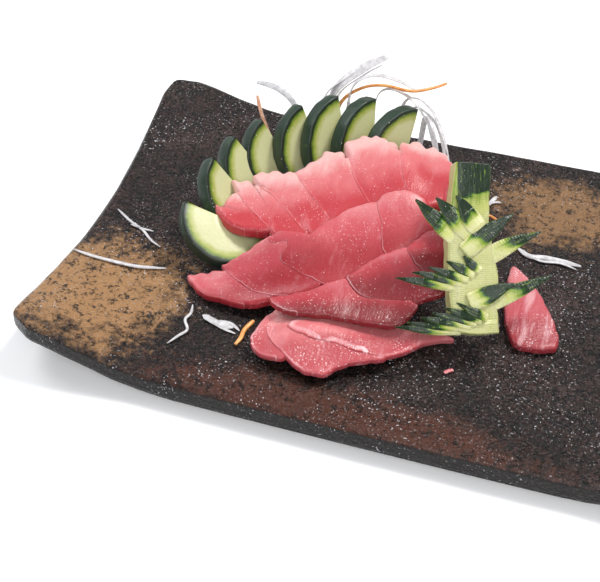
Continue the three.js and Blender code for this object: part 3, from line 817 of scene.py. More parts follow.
@dataclass
class CucumberFan:
    """Half-slices of cucumber that stand in a fan behind the tuna."""

    bevel: float = 0.55
    steps: int = 56
    placings: tuple[Placing, ...] = (
        Placing((-82, -11, 29), 60, 60, 35, 20.9),
        Placing((-84.2, 9, 31), 78, 36, 9, 19),
        Placing((-80, 24.5, 32.4), 66, 31, 16, 18.8),
        Placing((-71.5, 36.5, 32.6), 58, 27, 15, 19.8),
        Placing((-57.2, 45, 34), 57, 24, 6, 21.4, wave=0.45),
        Placing((-45.4, 50, 35), 61, 21, -8, 22.6, 6.6, 0.5),
        Placing((-32.1, 53, 34.5), 61, 14, -15, 22.4, wave=0.55),
        Placing((-15.9, 52, 33), 54, 13, -25, 22, wave=0.5),
    )

    def half_slice(self, place: Placing) -> bmesh.types.BMesh:
        """Spins a slice's profile through half a turn and closes its cut edge.

        Args:
            place: The slice's placing.

        Returns:
            The slice in the part's frame, with its rind and skin values.
        """
        radius, bevel, depth = place.radius, self.bevel, place.thickness
        radii = [0, 0.3, 0.55, 0.75, 0.88, 0.95]
        profile = [(radius * share, 0.0) for share in radii] + [(radius - bevel, 0.0)]
        profile += [(radius - 0.15 * bevel, -0.35 * bevel), (radius, -bevel)]
        profile += [(radius + 0.12, -depth * share) for share in (0.35, 0.65)]
        profile += [(radius, bevel - depth), (radius - 0.15 * bevel, 0.35 * bevel - depth)]
        profile += [(radius - bevel, -depth)] + [(radius * share, -depth) for share in reversed(radii)]
        bm = bmesh.new()
        line = [bm.verts.new((0.0, r, z)) for r, z in profile]
        edges = [bm.edges.new(pair) for pair in zip(line, line[1:])]
        bmesh.ops.spin(bm, geom=line + edges, cent=(0, 0, 0), axis=(0, 0, 1), angle=math.pi,
                       steps=self.steps, use_merge=False)
        bmesh.ops.remove_doubles(bm, verts=bm.verts, dist=1e-4)
        bmesh.ops.holes_fill(bm, edges=bm.edges, sides=0)
        bmesh.ops.recalc_face_normals(bm, faces=bm.faces)
        spots = np.array([v.co for v in bm.verts])
        away = np.hypot(spots[:, 0], spots[:, 1])
        point_values(bm, "rind", radius - away)
        skin = smooth_step(radius - 0.3 * bevel, radius, away)
        point_values(bm, "skin", skin)
        layer = bm.verts.layers.float_vector.new("spot")
        seed = Vector(place.at)
        for vertex, out in zip(bm.verts, away):
            vertex[layer] = vertex.co
            ripple = noise.noise(vertex.co / 5 + seed) * place.wave * (out / radius) ** 2
            bow = 0.35 * noise.noise(vertex.co / 16 + seed)
            vertex.co += Vector((vertex.co.x, vertex.co.y, 0)).normalized() * (ripple - 0.5 * place.wave)
            vertex.co.z += bow
        bmesh.ops.transform(bm, matrix=place.matrix() @ Matrix.Scale(MM, 4), verts=bm.verts)
        return bm

    def build(self) -> list[bpy.types.Object]:
        """Makes and dresses the half-slices.

        Returns:
            The pieces.
        """
        finish = CucumberFinish()
        material = finish.make()
        return [finish_piece(f"cucumber_slice_{i}", self.half_slice(place), material,
                             (f"cucumber_{i}",)) for i, place in enumerate(self.placings, 1)]


# ---------------------------------------------------------------- tuna
@dataclass(frozen=True)
class Cut:
    """How one slice of tuna is cut: its tint, edges and white sinew. Sizes are in mm."""

    tint: Tint
    fray: float = 0.4
    notch: float = 0.0
    sinew: float = 0.3
    thickness: float = 3.8
    edge: float = 0.5
    bevel: float = 0.9
    step: float = 0.16
    step_reach: float = 5.0
    tuck: float = 0.9
    wave: float = 0.35

    def rise(self, rim: np.ndarray, left: np.ndarray, covered: np.ndarray) -> np.ndarray:
        """Height of the slice over its row's sheet.

        Args:
            rim: Distances from the row's rim, in metres.
            left: Distances from the slice's left side.
            covered: Depths under the row's later slices.

        Returns:
            The heights in metres: it rounds off at the rim, stands proud at the left and tucks under.
        """
        lowered = (1 - self.edge) * self.thickness * np.exp(-np.maximum(rim, 0) / (self.bevel * MM))
        proud = self.step * np.exp(-left / (self.step_reach * MM))
        return (proud - lowered - self.tuck * smooth_step(0.2 * MM, 3.0 * MM, covered)) * MM


@dataclass
class Plan:
    """A slice's outline from above, and which of its sides face left."""

    points: np.ndarray
    faces_left: np.ndarray

    def depths(self, x: np.ndarray, y: np.ndarray) -> tuple[np.ndarray, np.ndarray, np.ndarray]:
        """How far places are from the outline.

        Args:
            x: Places along X.
            y: Places along Y.

        Returns:
            Distances from the rim, from its left part, and True for each place inside.
        """
        rim = np.full(x.shape, 1.0)
        left = rim.copy()
        inside = np.zeros(x.shape, bool)
        for a, b, leftward in zip(self.points, np.roll(self.points, -1, axis=0), self.faces_left):
            side = b - a
            t = np.clip(((x - a[0]) * side[0] + (y - a[1]) * side[1]) / (side @ side + 1e-18), 0, 1)
            away = np.hypot(x - a[0] - t * side[0], y - a[1] - t * side[1])
            rim = np.minimum(rim, away)
            if leftward:
                left = np.minimum(left, away)
            crosses = (a[1] > y) != (b[1] > y)
            if abs(side[1]) > 1e-12:
                inside ^= crosses & (x < a[0] + (y - a[1]) / side[1] * side[0])
        return rim, left, inside


@dataclass
class TunaSlices:
    """The slices of tuna, laid one on another in the order of the CAD nodes."""

    support: Support
    points: int = 132
    shares: tuple[float, ...] = (0.98, 0.95, 0.905, 0.85, 0.77, 0.67, 0.55, 0.42, 0.28, 0.14)
    back: Pair = (-0.29, 0.957)
    left: Pair = (-0.9, -0.44)
    rim_height: float = 2.5 * MM
    gap: float = 0.9 * MM
    easing: int = 30
    rows: tuple[tuple[str, int, Cut, int], ...] = (
        ("tuna_back", 6, Cut(Tint.BACK, notch=1.9, sinew=0.14, edge=0.4, step=0.1), 26),
        ("tuna_middle", 4, Cut(Tint.MIDDLE, fray=0.5, notch=0.5, sinew=0.22, thickness=2.8, edge=0.6,
                               bevel=0.7, step=0.1), 26),
        ("tuna_front", 3, Cut(Tint.FRONT, fray=0.6, notch=0.3, sinew=0.4, thickness=2.2, edge=0.6,
                              bevel=0.6, step=0.6, wave=0.7), 10),
        ("tuna_low", 3, Cut(Tint.LOW, fray=0.5, notch=0.3, sinew=0.35, thickness=2.4, edge=0.6,
                            bevel=0.7, wave=0.6), 16),
    )
    banded: tuple[str, float] = ("tuna_front_3", 1.8)
    right: Cut = Cut(Tint.RIGHT, fray=0.6, sinew=0.0, thickness=2.8, edge=0.6, bevel=0.7, step=0.0)

    def outline(self, node: str) -> np.ndarray:
        """The slice's plan, read off the CAD node's rim.

        Args:
            node: The CAD node.

        Returns:
            The plan's points, one a row.
        """
        bm = merged_copy(node)
        spots = np.array([v.co for v in bm.verts])
        bm.free()
        cells = np.round(spots[:, :2] / (0.2 * MM)).astype(int)
        _, group = np.unique(cells, axis=0, return_inverse=True)
        group = group.ravel()
        rim = []
        for key in range(group.max() + 1):
            column = spots[group == key]
            if np.ptp(column[:, 2]) < self.rim_height:
                rim.append(column[:, :2].mean(axis=0))
        rim = np.array(rim)
        middle = rim.mean(axis=0)
        order = np.argsort(np.arctan2(rim[:, 1] - middle[1], rim[:, 0] - middle[0]))
        return rim[order]

    def frayed(self, outline: np.ndarray, cut: Cut, seed: float) -> Plan:
        """Roughens a plan: fine fraying all round, and notches along its back edge.

        Args:
            outline: The smooth plan.
            cut: How the slice is cut.
            seed: Where its noise is read.

        Returns:
            The rough plan.
        """
        ahead = np.roll(outline, -1, axis=0) - np.roll(outline, 1, axis=0)
        out = np.column_stack([ahead[:, 1], -ahead[:, 0]]) / np.linalg.norm(ahead, axis=1)[:, None]
        behind = smooth_step(0.1, 0.8, out @ np.array(self.back))
        rough = np.array([noise.noise(Vector((x / 0.004, y / 0.004, seed))) for x, y in outline])
        fine = np.array([noise.noise(Vector((x / 0.0016, y / 0.0016, seed + 7))) for x, y in outline])
        tooth = np.array([noise.noise(Vector((x / 0.003, y / 0.006, seed + 19))) for x, y in outline])
        depth = cut.fray * (rough + 0.6 * fine - 0.4)
        depth += cut.notch * behind * (np.minimum(tooth * 2.2, 0.4) - 0.25)
        return Plan(outline + out * (depth * MM)[:, None], out @ np.array(self.left) > 0.4)

    def sheet(self, nodes: list[str], inside: np.ndarray, rounds: int) -> np.ndarray:
        """The smooth top of a row: a curved surface through the CAD nodes' tops, and its softened rest.

        Args:
            nodes: The row's CAD nodes.
            inside: The cells that the row covers.
            rounds: How often the rest is evened out.

        Returns:
            The heights, or -1 past the row.
        """
        face = Support()
        for node in nodes:
            face.raise_to(merged_copy(node))
        known = face.heights > 0
        x, y = (grid / 0.1 for grid in np.meshgrid(face.xs, face.ys))
        terms = np.stack([np.ones_like(x), x, y, x * x, x * y, y * y])
        weights = np.linalg.lstsq(terms[:, known].T, face.heights[known], rcond=None)[0]
        broad = np.tensordot(weights, terms, 1)
        rest = self.filled(np.where(known, face.heights - broad, 0.0), known, 8)
        rest = blurred(rest, self.filled(known.astype(float), known, 6) > 0, rounds)
        lowest = np.where(inside, broad + rest, -1.0)
        return self.support.drape(inside, lowest, self.gap, self.easing)

    def lay_row(self, nodes: list[str], cuts: list[Cut], rounds: int) -> list[bmesh.types.BMesh]:
        """Lays a row of slices and raises the support to their tops.

        Args:
            nodes: The CAD nodes that they stand for, the first laid first.
            cuts: How each is cut.
            rounds: How smooth the row is.

        Returns:
            The slices, with their rim, left, fade and sinew values.
        """
        seeds = [sum(map(ord, node)) * 0.37 for node in nodes]
        plans = [self.frayed(spline_points(self.outline(node), self.points), cut, seed)
                 for node, cut, seed in zip(nodes, cuts, seeds)]
        depths = [plan.depths(*np.meshgrid(self.support.xs, self.support.ys)) for plan in plans]
        inside = np.any([mask for _, _, mask in depths], axis=0)
        sheet = self.sheet(nodes, inside, rounds)
        wide = self.filled(sheet, inside)
        ground = self.support.heights.copy()
        slices = []
        for number, (cut, plan, seed) in enumerate(zip(cuts, plans, seeds)):
            bm, upper = self.blank(plan)
            x, y = (np.array([v.co[k] for v in bm.verts]) for k in (0, 1))
            found = [other.depths(x, y) for other in plans]
            left = found[number][1]
            union = np.max([np.where(mask, away, 0.0) for away, _, mask in found], axis=0)
            later = [np.where(mask, away, 0.0) for away, _, mask in found[number + 1:]]
            covered = np.max(later, axis=0) if later else np.zeros_like(x)
            grain = np.array([noise.noise(Vector((a / 0.012, b / 0.012, seed))) for a, b in zip(x, y)])
            top = self.support.sample(wide, x, y) + cut.rise(union, left, covered) + cut.wave * MM * grain
            low = np.maximum(top - cut.thickness * MM, self.support.sample(ground, x, y) - 0.3 * MM)
            for vertex, height in zip(bm.verts, np.where(upper, top, np.minimum(low, top - 0.4 * MM))):
                vertex.co.z = height
            bmesh.ops.recalc_face_normals(bm, faces=bm.faces)
            point_values(bm, "rim", union / MM)
            point_values(bm, "left", left / MM)
            middle = plan.points.mean(axis=0)
            along = (np.column_stack([x, y]) - middle) @ np.array(self.back)
            span = (plan.points - middle) @ np.array(self.back)
            fade = (along - span.min()) / np.ptp(span)
            point_values(bm, "fade", fade)
            point_values(bm, "sinew", cut.sinew * smooth_step(0.9, 0.4, fade))
            slices.append(bm)
        rim = np.max([np.where(mask, away, 0.0) for away, _, mask in depths], axis=0)
        zero = np.zeros_like(rim)
        laid = sheet + cuts[0].rise(rim, zero + 1.0, zero)
        self.support.heights = np.where(inside, np.maximum(laid, ground), ground)
        return slices

    def blank(self, plan: Plan) -> tuple[bmesh.types.BMesh, np.ndarray]:
        """A flat slice: rings of faces within its plan, doubled for its underside.

        Args:
            plan: Its plan.

        Returns:
            The flat slice, and True for each of its upper points.
        """
        middle = plan.points.mean(axis=0)
        bm = bmesh.new()
        sheet = bm.faces.new([bm.verts.new((x, y, 0)) for x, y in plan.points])
        before = 1.0
        for share in self.shares:
            bmesh.ops.inset_individual(bm, faces=[sheet], thickness=0.0, use_even_offset=False)
            for vertex in sheet.verts:
                vertex.co.xy = Vector(middle) + (vertex.co.xy - Vector(middle)) * (share / before)
            before = share
        bmesh.ops.poke(bm, faces=[sheet])
        grown = bmesh.ops.extrude_face_region(bm, geom=bm.faces[:], use_keep_orig=True)
        top = {v for v in grown["geom"] if isinstance(v, bmesh.types.BMVert)}
        return bm, np.array([v in top for v in bm.verts])

    @staticmethod
    def filled(sheet: np.ndarray, inside: np.ndarray, reach: int = 4) -> np.ndarray:
        """Carries a sheet's heights a few cells past its edge, so that its rim can be read.

        Args:
            sheet: The sheet's grid.
            inside: The cells that it covers.
            reach: Number of cells that it is carried.

        Returns:
            The wider grid.
        """
        known = inside.copy()
        wide = sheet.copy()
        for _ in range(reach):
            total = np.zeros_like(wide)
            weight = np.zeros_like(wide)
            for axis in (0, 1):
                for shift in (-1, 1):
                    total += np.roll(wide * known, shift, axis)
                    weight += np.roll(known.astype(float), shift, axis)
            fresh = ~known & (weight > 0)
            wide[fresh] = total[fresh] / weight[fresh]
            known |= fresh
        return wide

    def build(self) -> list[bpy.types.Object]:
        """Lays and dresses the slices.

        Returns:
            The pieces.
        """
        materials = {tint: tint.value.make() for tint in Tint}
        rows = [([f"{row}_{i + 1}" for i in range(count)], cut, rounds)
                for row, count, cut, rounds in self.rows]
        banded, sinew = self.banded
        pieces = []
        for nodes, row_cut, rounds in [*rows, (["tuna_right"], self.right, 10)]:
            cuts = [replace(row_cut, tint=Tint.BANDED, sinew=sinew) if node == banded else row_cut
                    for node in nodes]
            for node, cut, bm in zip(nodes, cuts, self.lay_row(nodes, cuts, rounds)):
                pieces.append(finish_piece(f"{node}_slice", bm, materials[cut.tint],
                                           (node,), 1))
        return pieces


# ---------------------------------------------------------------- fir-cut garnish
@dataclass(frozen=True)
class Fan:
    """A fan of leaves: values in mm for its lowest and its highest leaf.

    The dark values are the shares of a leaf's length at which its rind begins.
    """

    count: int
    width: float
    root: tuple[Pair, Pair]
    tip: tuple[Pair, Pair]
    height: Pair
    dark: Pair


@dataclass
class Garnish:
    """A slab of cucumber whose rind is cut into fans of leaves and bent out, like a fir tree."""

    foot: Pair = (32.5, -41.5)
    head: Pair = (14.5, 23.5)
    slope: float = 36.0
    roll: float = 14.0
    length: float = 71.0
    thickness: float = 8.0
    blade: float = 1.8
    curl: float = 1.6
    block: float = 58.0
    grooves: Pair = (-3.4, 1.6)
    leaf_rings: tuple[int, int] = (26, 18)
    trunk_rings: tuple[int, int] = (89, 56)
    right_side: tuple[Pair, ...] = ((2, 10), (12, 9), (24, 9.7), (36, 7.2), (47, 5.6), (60, 6), (71, 7))
    left_side: tuple[Pair, ...] = ((1, 10), (20, 11.6), (37, 12), (57, 10.5), (69.5, 9))
    fans: tuple[Fan, ...] = (
        Fan(6, 4.4, ((-6, 2), (4, 7)), ((-35, 2), (-10, 12.5)), (4.6, 7.4), (0.56, 0.3)),
        Fan(2, 8.4, ((0, 11), (-4, 13)), ((33.5, 26.5), (16, 22)), (4.8, 7.2), (0.6, 0.38)),
        Fan(5, 4.4, ((-8, 19), (1, 26)), ((-35, 21.5), (-7, 31.5)), (4.8, 7.4), (0.46, 0.34)),
        Fan(2, 8.4, ((-1, 29), (-6, 33)), ((29, 44.5), (15.5, 50.5)), (4.8, 7.2), (0.64, 0.38)),
        Fan(3, 9.4, ((-5, 37), (1, 43)), ((-26.5, 54), (-10, 56)), (4.8, 7.2), (0.52, 0.5)),
    )

    def place(self) -> Matrix:
        """The slab's own frame in the part's frame, resting as low as the CAD node.

        Returns:
            The frame's matrix.
        """
        dx, dy = (b - a for a, b in zip(self.foot, self.head))
        matrix = Matrix.Rotation(math.atan2(dy, dx) - math.pi / 2, 4, "Z")
        matrix = matrix @ Matrix.Rotation(math.radians(self.slope), 4, "X")
        matrix = matrix @ Matrix.Rotation(math.radians(self.roll), 4, "Y")
        lowest = (matrix @ Vector((10, 2, 0))).z
        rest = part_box("cucumber_fir")[0][2] / MM - lowest
        return Matrix.Scale(MM, 4) @ Matrix.Translation((*self.foot, rest)) @ matrix

    def leaf(self, fan: Fan, share: float, seed: float) -> Rings:
        """Shapes a leaf: wide and thick past its root, thin and pointed at its lifted tip.

        Args:
            fan: Its fan.
            share: Its place in the fan, 0 at the lowest leaf.
            seed: Number that varies its bends.

        Returns:
            Its rings of points, and the rind and grain values of those points.
        """
        root, tip = (np.array(low) + (np.array(high) - np.array(low)) * share
                     for low, high in (fan.root, fan.tip))
        height, dark = (low + (high - low) * share for low, high in (fan.height, fan.dark))
        reach = np.linalg.norm(tip - root)
        ahead = (tip - root) / reach
        across = np.array([-ahead[1], ahead[0]])
        rings, rind, grain = [], [], []
        count, sides = self.leaf_rings
        for t in np.linspace(0, 0.985, count):
            half = fan.width / 2 * (1 - t ** 2.2) * (0.84 + 0.16 * math.sin(math.pi * t)) + 0.1
            sway = 0.9 * math.sin(math.pi * t) * noise.noise((seed, 1.7, t))
            middle = root + (tip - root) * t + across * sway
            thick = self.blade * (1 - 0.6 * t)
            curl = self.curl * t ** 1.6 * (0.8 + 0.7 * noise.noise((seed, 3.1, 0)))
            level = height + self.blade / 2 + curl
            ring = []
            for turn in np.linspace(0, 2 * math.pi, sides, endpoint=False):
                side = rounded(math.cos(turn), 0.55)
                rise = rounded(math.sin(turn), 0.6) * thick / 2
                ragged = 0.15 * noise.noise((seed, t * 3.5, side * 2))
                x, y = middle + across * (half * side + ragged)
                ring.append((x, y, level + rise + 0.5 * (1 - side * side) * (1 - t) - 0.25 * t * side))
                wander = 0.14 * noise.noise((seed * 3, side * 2.2, t * 2)) + 0.07 * side
                cut_side = 0.4 * float(smooth_step(0.8, 0.97, abs(side))) + 0.3 * (rise < -0.2)
                rind.append(float(smooth_step(dark - 0.3, dark + 0.1, t + wander)) - cut_side)
                grain.append((half * side, reach * t * 0.1, seed))
            rings.append(np.array(ring))
        return rings, np.array(rind), np.array(grain)

    def trunk(self) -> Rings:
        """Shapes the slab: a block of flesh with a domed rind at its head, two grooves and a notched foot.

        Returns:
            Its rings of points, and the rind and grain values of those points.
        """
        right, left = (np.array(side).T for side in (self.right_side, self.left_side))
        rings, rind, grain = [], [], []
        count, sides = self.trunk_rings
        for along in np.linspace(0, self.length, count):
            ring = []
            for turn in np.linspace(0, 2 * math.pi, sides, endpoint=False):
                c, s = math.cos(turn), math.sin(turn)
                x = rounded(c, 0.26) * float(np.interp(along, *(right if c > 0 else left)))
                z = self.thickness / 2 * (1 + rounded(s, 0.3))
                top = float(smooth_step(0.2, 0.5, s))
                groove = max(math.exp(-((x - at) / 0.5) ** 2) for at in self.grooves)
                headed = float(smooth_step(self.block - 3, self.block, along))
                z += top * (-0.5 - 0.6 * (x / 10) ** 2 + 0.4 * headed - 1.0 * groove * headed)
                z -= top * 3.2 * math.exp(-((x + 1.4) / 0.8) ** 2) * max(0.0, 1 - along / 9)
                z -= top * 0.5 * noise.noise((x / 5, along / 9, 3.0))
                y = along + 1.2 * (abs(x) / 10) * (1 - along / self.length)
                ring.append((x, y, z))
                edge = self.block + 1.6 * noise.noise((x / 2.4, 5.0, 0)) + 0.3 * x - 5.5 * groove
                skin = float(smooth_step(edge - 1.6, edge + 0.6, along) * smooth_step(-9, -7.6, x))
                under = 0.34 * float(smooth_step(edge - 13, edge - 1, along))
                rind.append(top * max(skin * (0.9 + 0.2 * groove), under))
                grain.append((x, y * 0.1, z * 0.4))
            rings.append(np.array(ring))
        return rings, np.array(rind), np.array(grain)

    def build(self) -> bpy.types.Object:
        """Makes and dresses the garnish.

        Returns:
            The piece.
        """
        bm = bmesh.new()
        parts = [self.trunk()]
        for number, fan in enumerate(self.fans):
            parts += [self.leaf(fan, i / (fan.count - 1), number * 10 + i * 1.7)
                      for i in range(fan.count)]
        skin = bm.verts.layers.float.new("rind")
        fibre = bm.verts.layers.float_vector.new("grain")
        for rings, rind, grain in parts:
            for vertex, depth, spot in zip(loft(bm, rings), rind, grain):
                vertex[skin] = depth
                vertex[fibre] = spot
                vertex.co += Vector((0.3, 0.12, 0.3)) * noise.noise(vertex.co / 5)
        bmesh.ops.recalc_face_normals(bm, faces=bm.faces)
        bmesh.ops.transform(bm, matrix=self.place(), verts=bm.verts)
        finish = FirFinish()
        return finish_piece("fir_cut_garnish", bm, finish.make(), ("cucumber_fir",), 1)


# ---------------------------------------------------------------- shreds
@dataclass(frozen=True)
class Strand:
    """A shred: its route, width and thickness in mm, its tilt at both ends in degrees, and its taper."""

    route: tuple[Colour, ...]
    width: float
    thickness: float = 0.9
    tilt: Pair = (90.0, 90.0)
    taper: float = 0.35


def ribbon_piece(name: str, strands: list[Strand], finish: ShredFinish,
                 nodes: tuple[str, ...] = ()) -> bpy.types.Object:
    """Makes one piece of soft ribbons.

    Args:
        name: The piece's name.
        strands: Its ribbons, all of one width and thickness.
        finish: Their finish.
        nodes: CAD nodes that it stands for.

    Returns:
        The piece.
    """
    curve = bpy.data.curves.new(f"{name}_routes", "CURVE")
    curve.dimensions = "3D"
    curve.twist_mode = "Z_UP"
    curve.resolution_u = 4
    curve.bevel_depth = strands[0].thickness / 2 * MM
    curve.extrude = (strands[0].width - strands[0].thickness) / 2 * MM
    curve.bevel_resolution = 1
    curve.use_fill_caps = True
    for strand in strands:
        spline = curve.splines.new("NURBS")
        spline.points.add(len(strand.route) - 1)
        spline.use_endpoint_u = True
        spline.order_u = 4
        last = len(strand.route) - 1
        for i, (point, spot) in enumerate(zip(spline.points, strand.route)):
            point.co = (*(c * MM for c in spot), 1)
            share = i / last
            point.tilt = math.radians(strand.tilt[0] + (strand.tilt[1] - strand.tilt[0]) * share)
            ends = min(1.0, share / 0.12, (1 - share) / 0.2)
            point.radius = strand.width / strands[0].width * (strand.taper + (1 - strand.taper) * ends)
    holder = bpy.data.objects.new(f"{name}_curve", curve)
    bpy.context.scene.collection.objects.link(holder)
    bpy.context.view_layer.update()
    mesh = bpy.data.meshes.new_from_object(holder.evaluated_get(bpy.context.evaluated_depsgraph_get()))
    bm = bmesh.new()
    bm.from_mesh(mesh)
    bpy.data.objects.remove(holder)
    bpy.data.meshes.remove(mesh)
    bmesh.ops.remove_doubles(bm, verts=bm.verts, dist=1e-6)
    return finish_piece(name, bm, finish.make(), nodes)


@dataclass
class Heap:
    """The heap of daikon shreds: a core, and real shreds over what the other food leaves bare."""

    centre: Pair = (-39.5, 27)
    radii: Pair = (52.5, 54.5)
    height: float = 24.0
    crest: Pair = (-26, 31)
    spread: Pair = (56, 35)
    toe: float = -42.0
    back: float = 84.0
    count: int = 240
    front: tuple[float, float, float] = (-36, 2, 53)
    step: float = 3.2
    width: float = 1.7
    taper: float = 0.8
    seed: int = 11
    insets: tuple[float, ...] = (0.97, 0.91, 0.93, 0.9, 0.88, 0.85, 0.8, 0.7, 0.5)

    def rise(self, x: float, y: float) -> float:
        """Height of the heap above the plate: it climbs to a crest, then falls to the back.

        Args:
            x: Place along X, in mm.
            y: Place along Y, in mm.

        Returns:
            The height in mm.
        """
        away = x - self.crest[0]
        along = math.exp(-((away / self.spread[0 if away < 0 else 1]) ** 4))
        crest_y = self.crest[1] - 0.011 * away ** 2
        if y < crest_y:
            across = min(max((y - self.toe) / (crest_y - self.toe), 0), 1) ** 2
        else:
            across = 1 - min(max((y - crest_y) / (self.back - crest_y), 0), 1) ** 1.1
        return self.height * along * across

    def share(self, x: float, y: float) -> float:
        """How far out a place is: 0 in the middle and 1 on the heap's edge."""
        return math.hypot((x - self.centre[0]) / self.radii[0], (y - self.centre[1]) / self.radii[1])

    def core(self, plate: Support) -> bmesh.types.BMesh:
        """Makes the closed core on the plate.

        Args:
            plate: Heights of the plate.

        Returns:
            The core.
        """
        bm = bmesh.new()
        turns = np.linspace(0, 2 * math.pi, 48, endpoint=False)
        (x, y), (wide, deep) = self.centre, self.radii
        rim = [bm.verts.new((x + wide * math.cos(t), y + deep * math.sin(t), 0)) for t in turns]
        base = bm.faces.new(rim)
        grown = bmesh.ops.extrude_face_region(bm, geom=[base], use_keep_orig=True)
        lid = next(part for part in grown["geom"] if isinstance(part, bmesh.types.BMFace))
        for scale in self.insets:
            bmesh.ops.inset_individual(bm, faces=[lid], thickness=0.0, use_even_offset=False)
            for vertex in lid.verts:
                vertex.co.xy = Vector(self.centre) + (vertex.co.xy - Vector(self.centre)) * scale
        upper = set(bm.verts) - set(base.verts)
        for vertex in bm.verts:
            x, y = vertex.co.xy
            floor = float(plate.sample(plate.heights, np.array([x * MM]), np.array([y * MM]))[0]) / MM
            edge = float(smooth_step(1.02, 0.86, np.array(self.share(x, y))))
            vertex.co.z = floor + 0.35 + (0.8 + self.rise(x, y) * edge if vertex in upper else 0)
        bmesh.ops.triangulate(bm, faces=bm.faces)
        bmesh.ops.transform(bm, matrix=Matrix.Scale(MM, 4), verts=bm.verts)
        bmesh.ops.recalc_face_normals(bm, faces=bm.faces)
        return bm

    def strands(self, support: Support, cover: Support) -> list[Strand]:
        """Routes of the shreds over the bare parts of the heap.

        Args:
            support: Heights of the plate and the heap.
            cover: Heights of everything that lies on the heap; 0 where it is bare.

        Returns:
            The shreds.
        """
        draw = random.Random(self.seed)
        found: list[Strand] = []
        for _ in range(self.count * 12):
            if len(found) == self.count:
                break
            turn, out = draw.uniform(0, 2 * math.pi), math.sqrt(draw.random())
            x, y = (middle + radius * out * wave(turn)
                    for middle, radius, wave in zip(self.centre, self.radii, (math.cos, math.sin)))
            heading = draw.uniform(0, 2 * math.pi)
            lift, bend = draw.uniform(0.1, 2.2), draw.uniform(-0.3, 0.3)
            steps = draw.randint(6, 16)
            route = []
            for i in range(steps):
                where = np.array([x * MM]), np.array([y * MM])
                ahead = math.hypot(x - self.front[0], y - self.front[1]) < self.front[2]
                if ahead or cover.sample(cover.heights, *where)[0] > 0 or self.share(x, y) > 1.03:
                    break
                ground = support.sample(support.heights, *where)[0] / MM
                route.append((x, y, ground + 0.5 + lift * math.sin(math.pi * i / steps)))
                heading += bend + draw.gauss(0, 0.22)
                x, y = x + self.step * math.cos(heading), y + self.step * math.sin(heading)
            if len(route) >= 4:
                tilt = draw.uniform(40, 140)
                ends = (tilt, tilt + draw.uniform(-50, 50))
                found.append(Strand(tuple(route), self.width, tilt=ends, taper=self.taper))
        return found

    def build(self, core: bmesh.types.BMesh, support: Support, cover: Support) -> list[bpy.types.Object]:
        """Makes and dresses the core and its shreds.

        Args:
            core: The core, which is freed.
            support: Heights of the plate and the heap.
            cover: Heights of everything that lies on the heap; 0 where it is bare.

        Returns:
            The pieces.
        """
        strands = self.strands(support, cover)
        return [finish_piece("daikon_core", core, DAIKON.make(), ("daikon_heap",), 1),
                ribbon_piece("daikon_shreds", strands, DAIKON)]


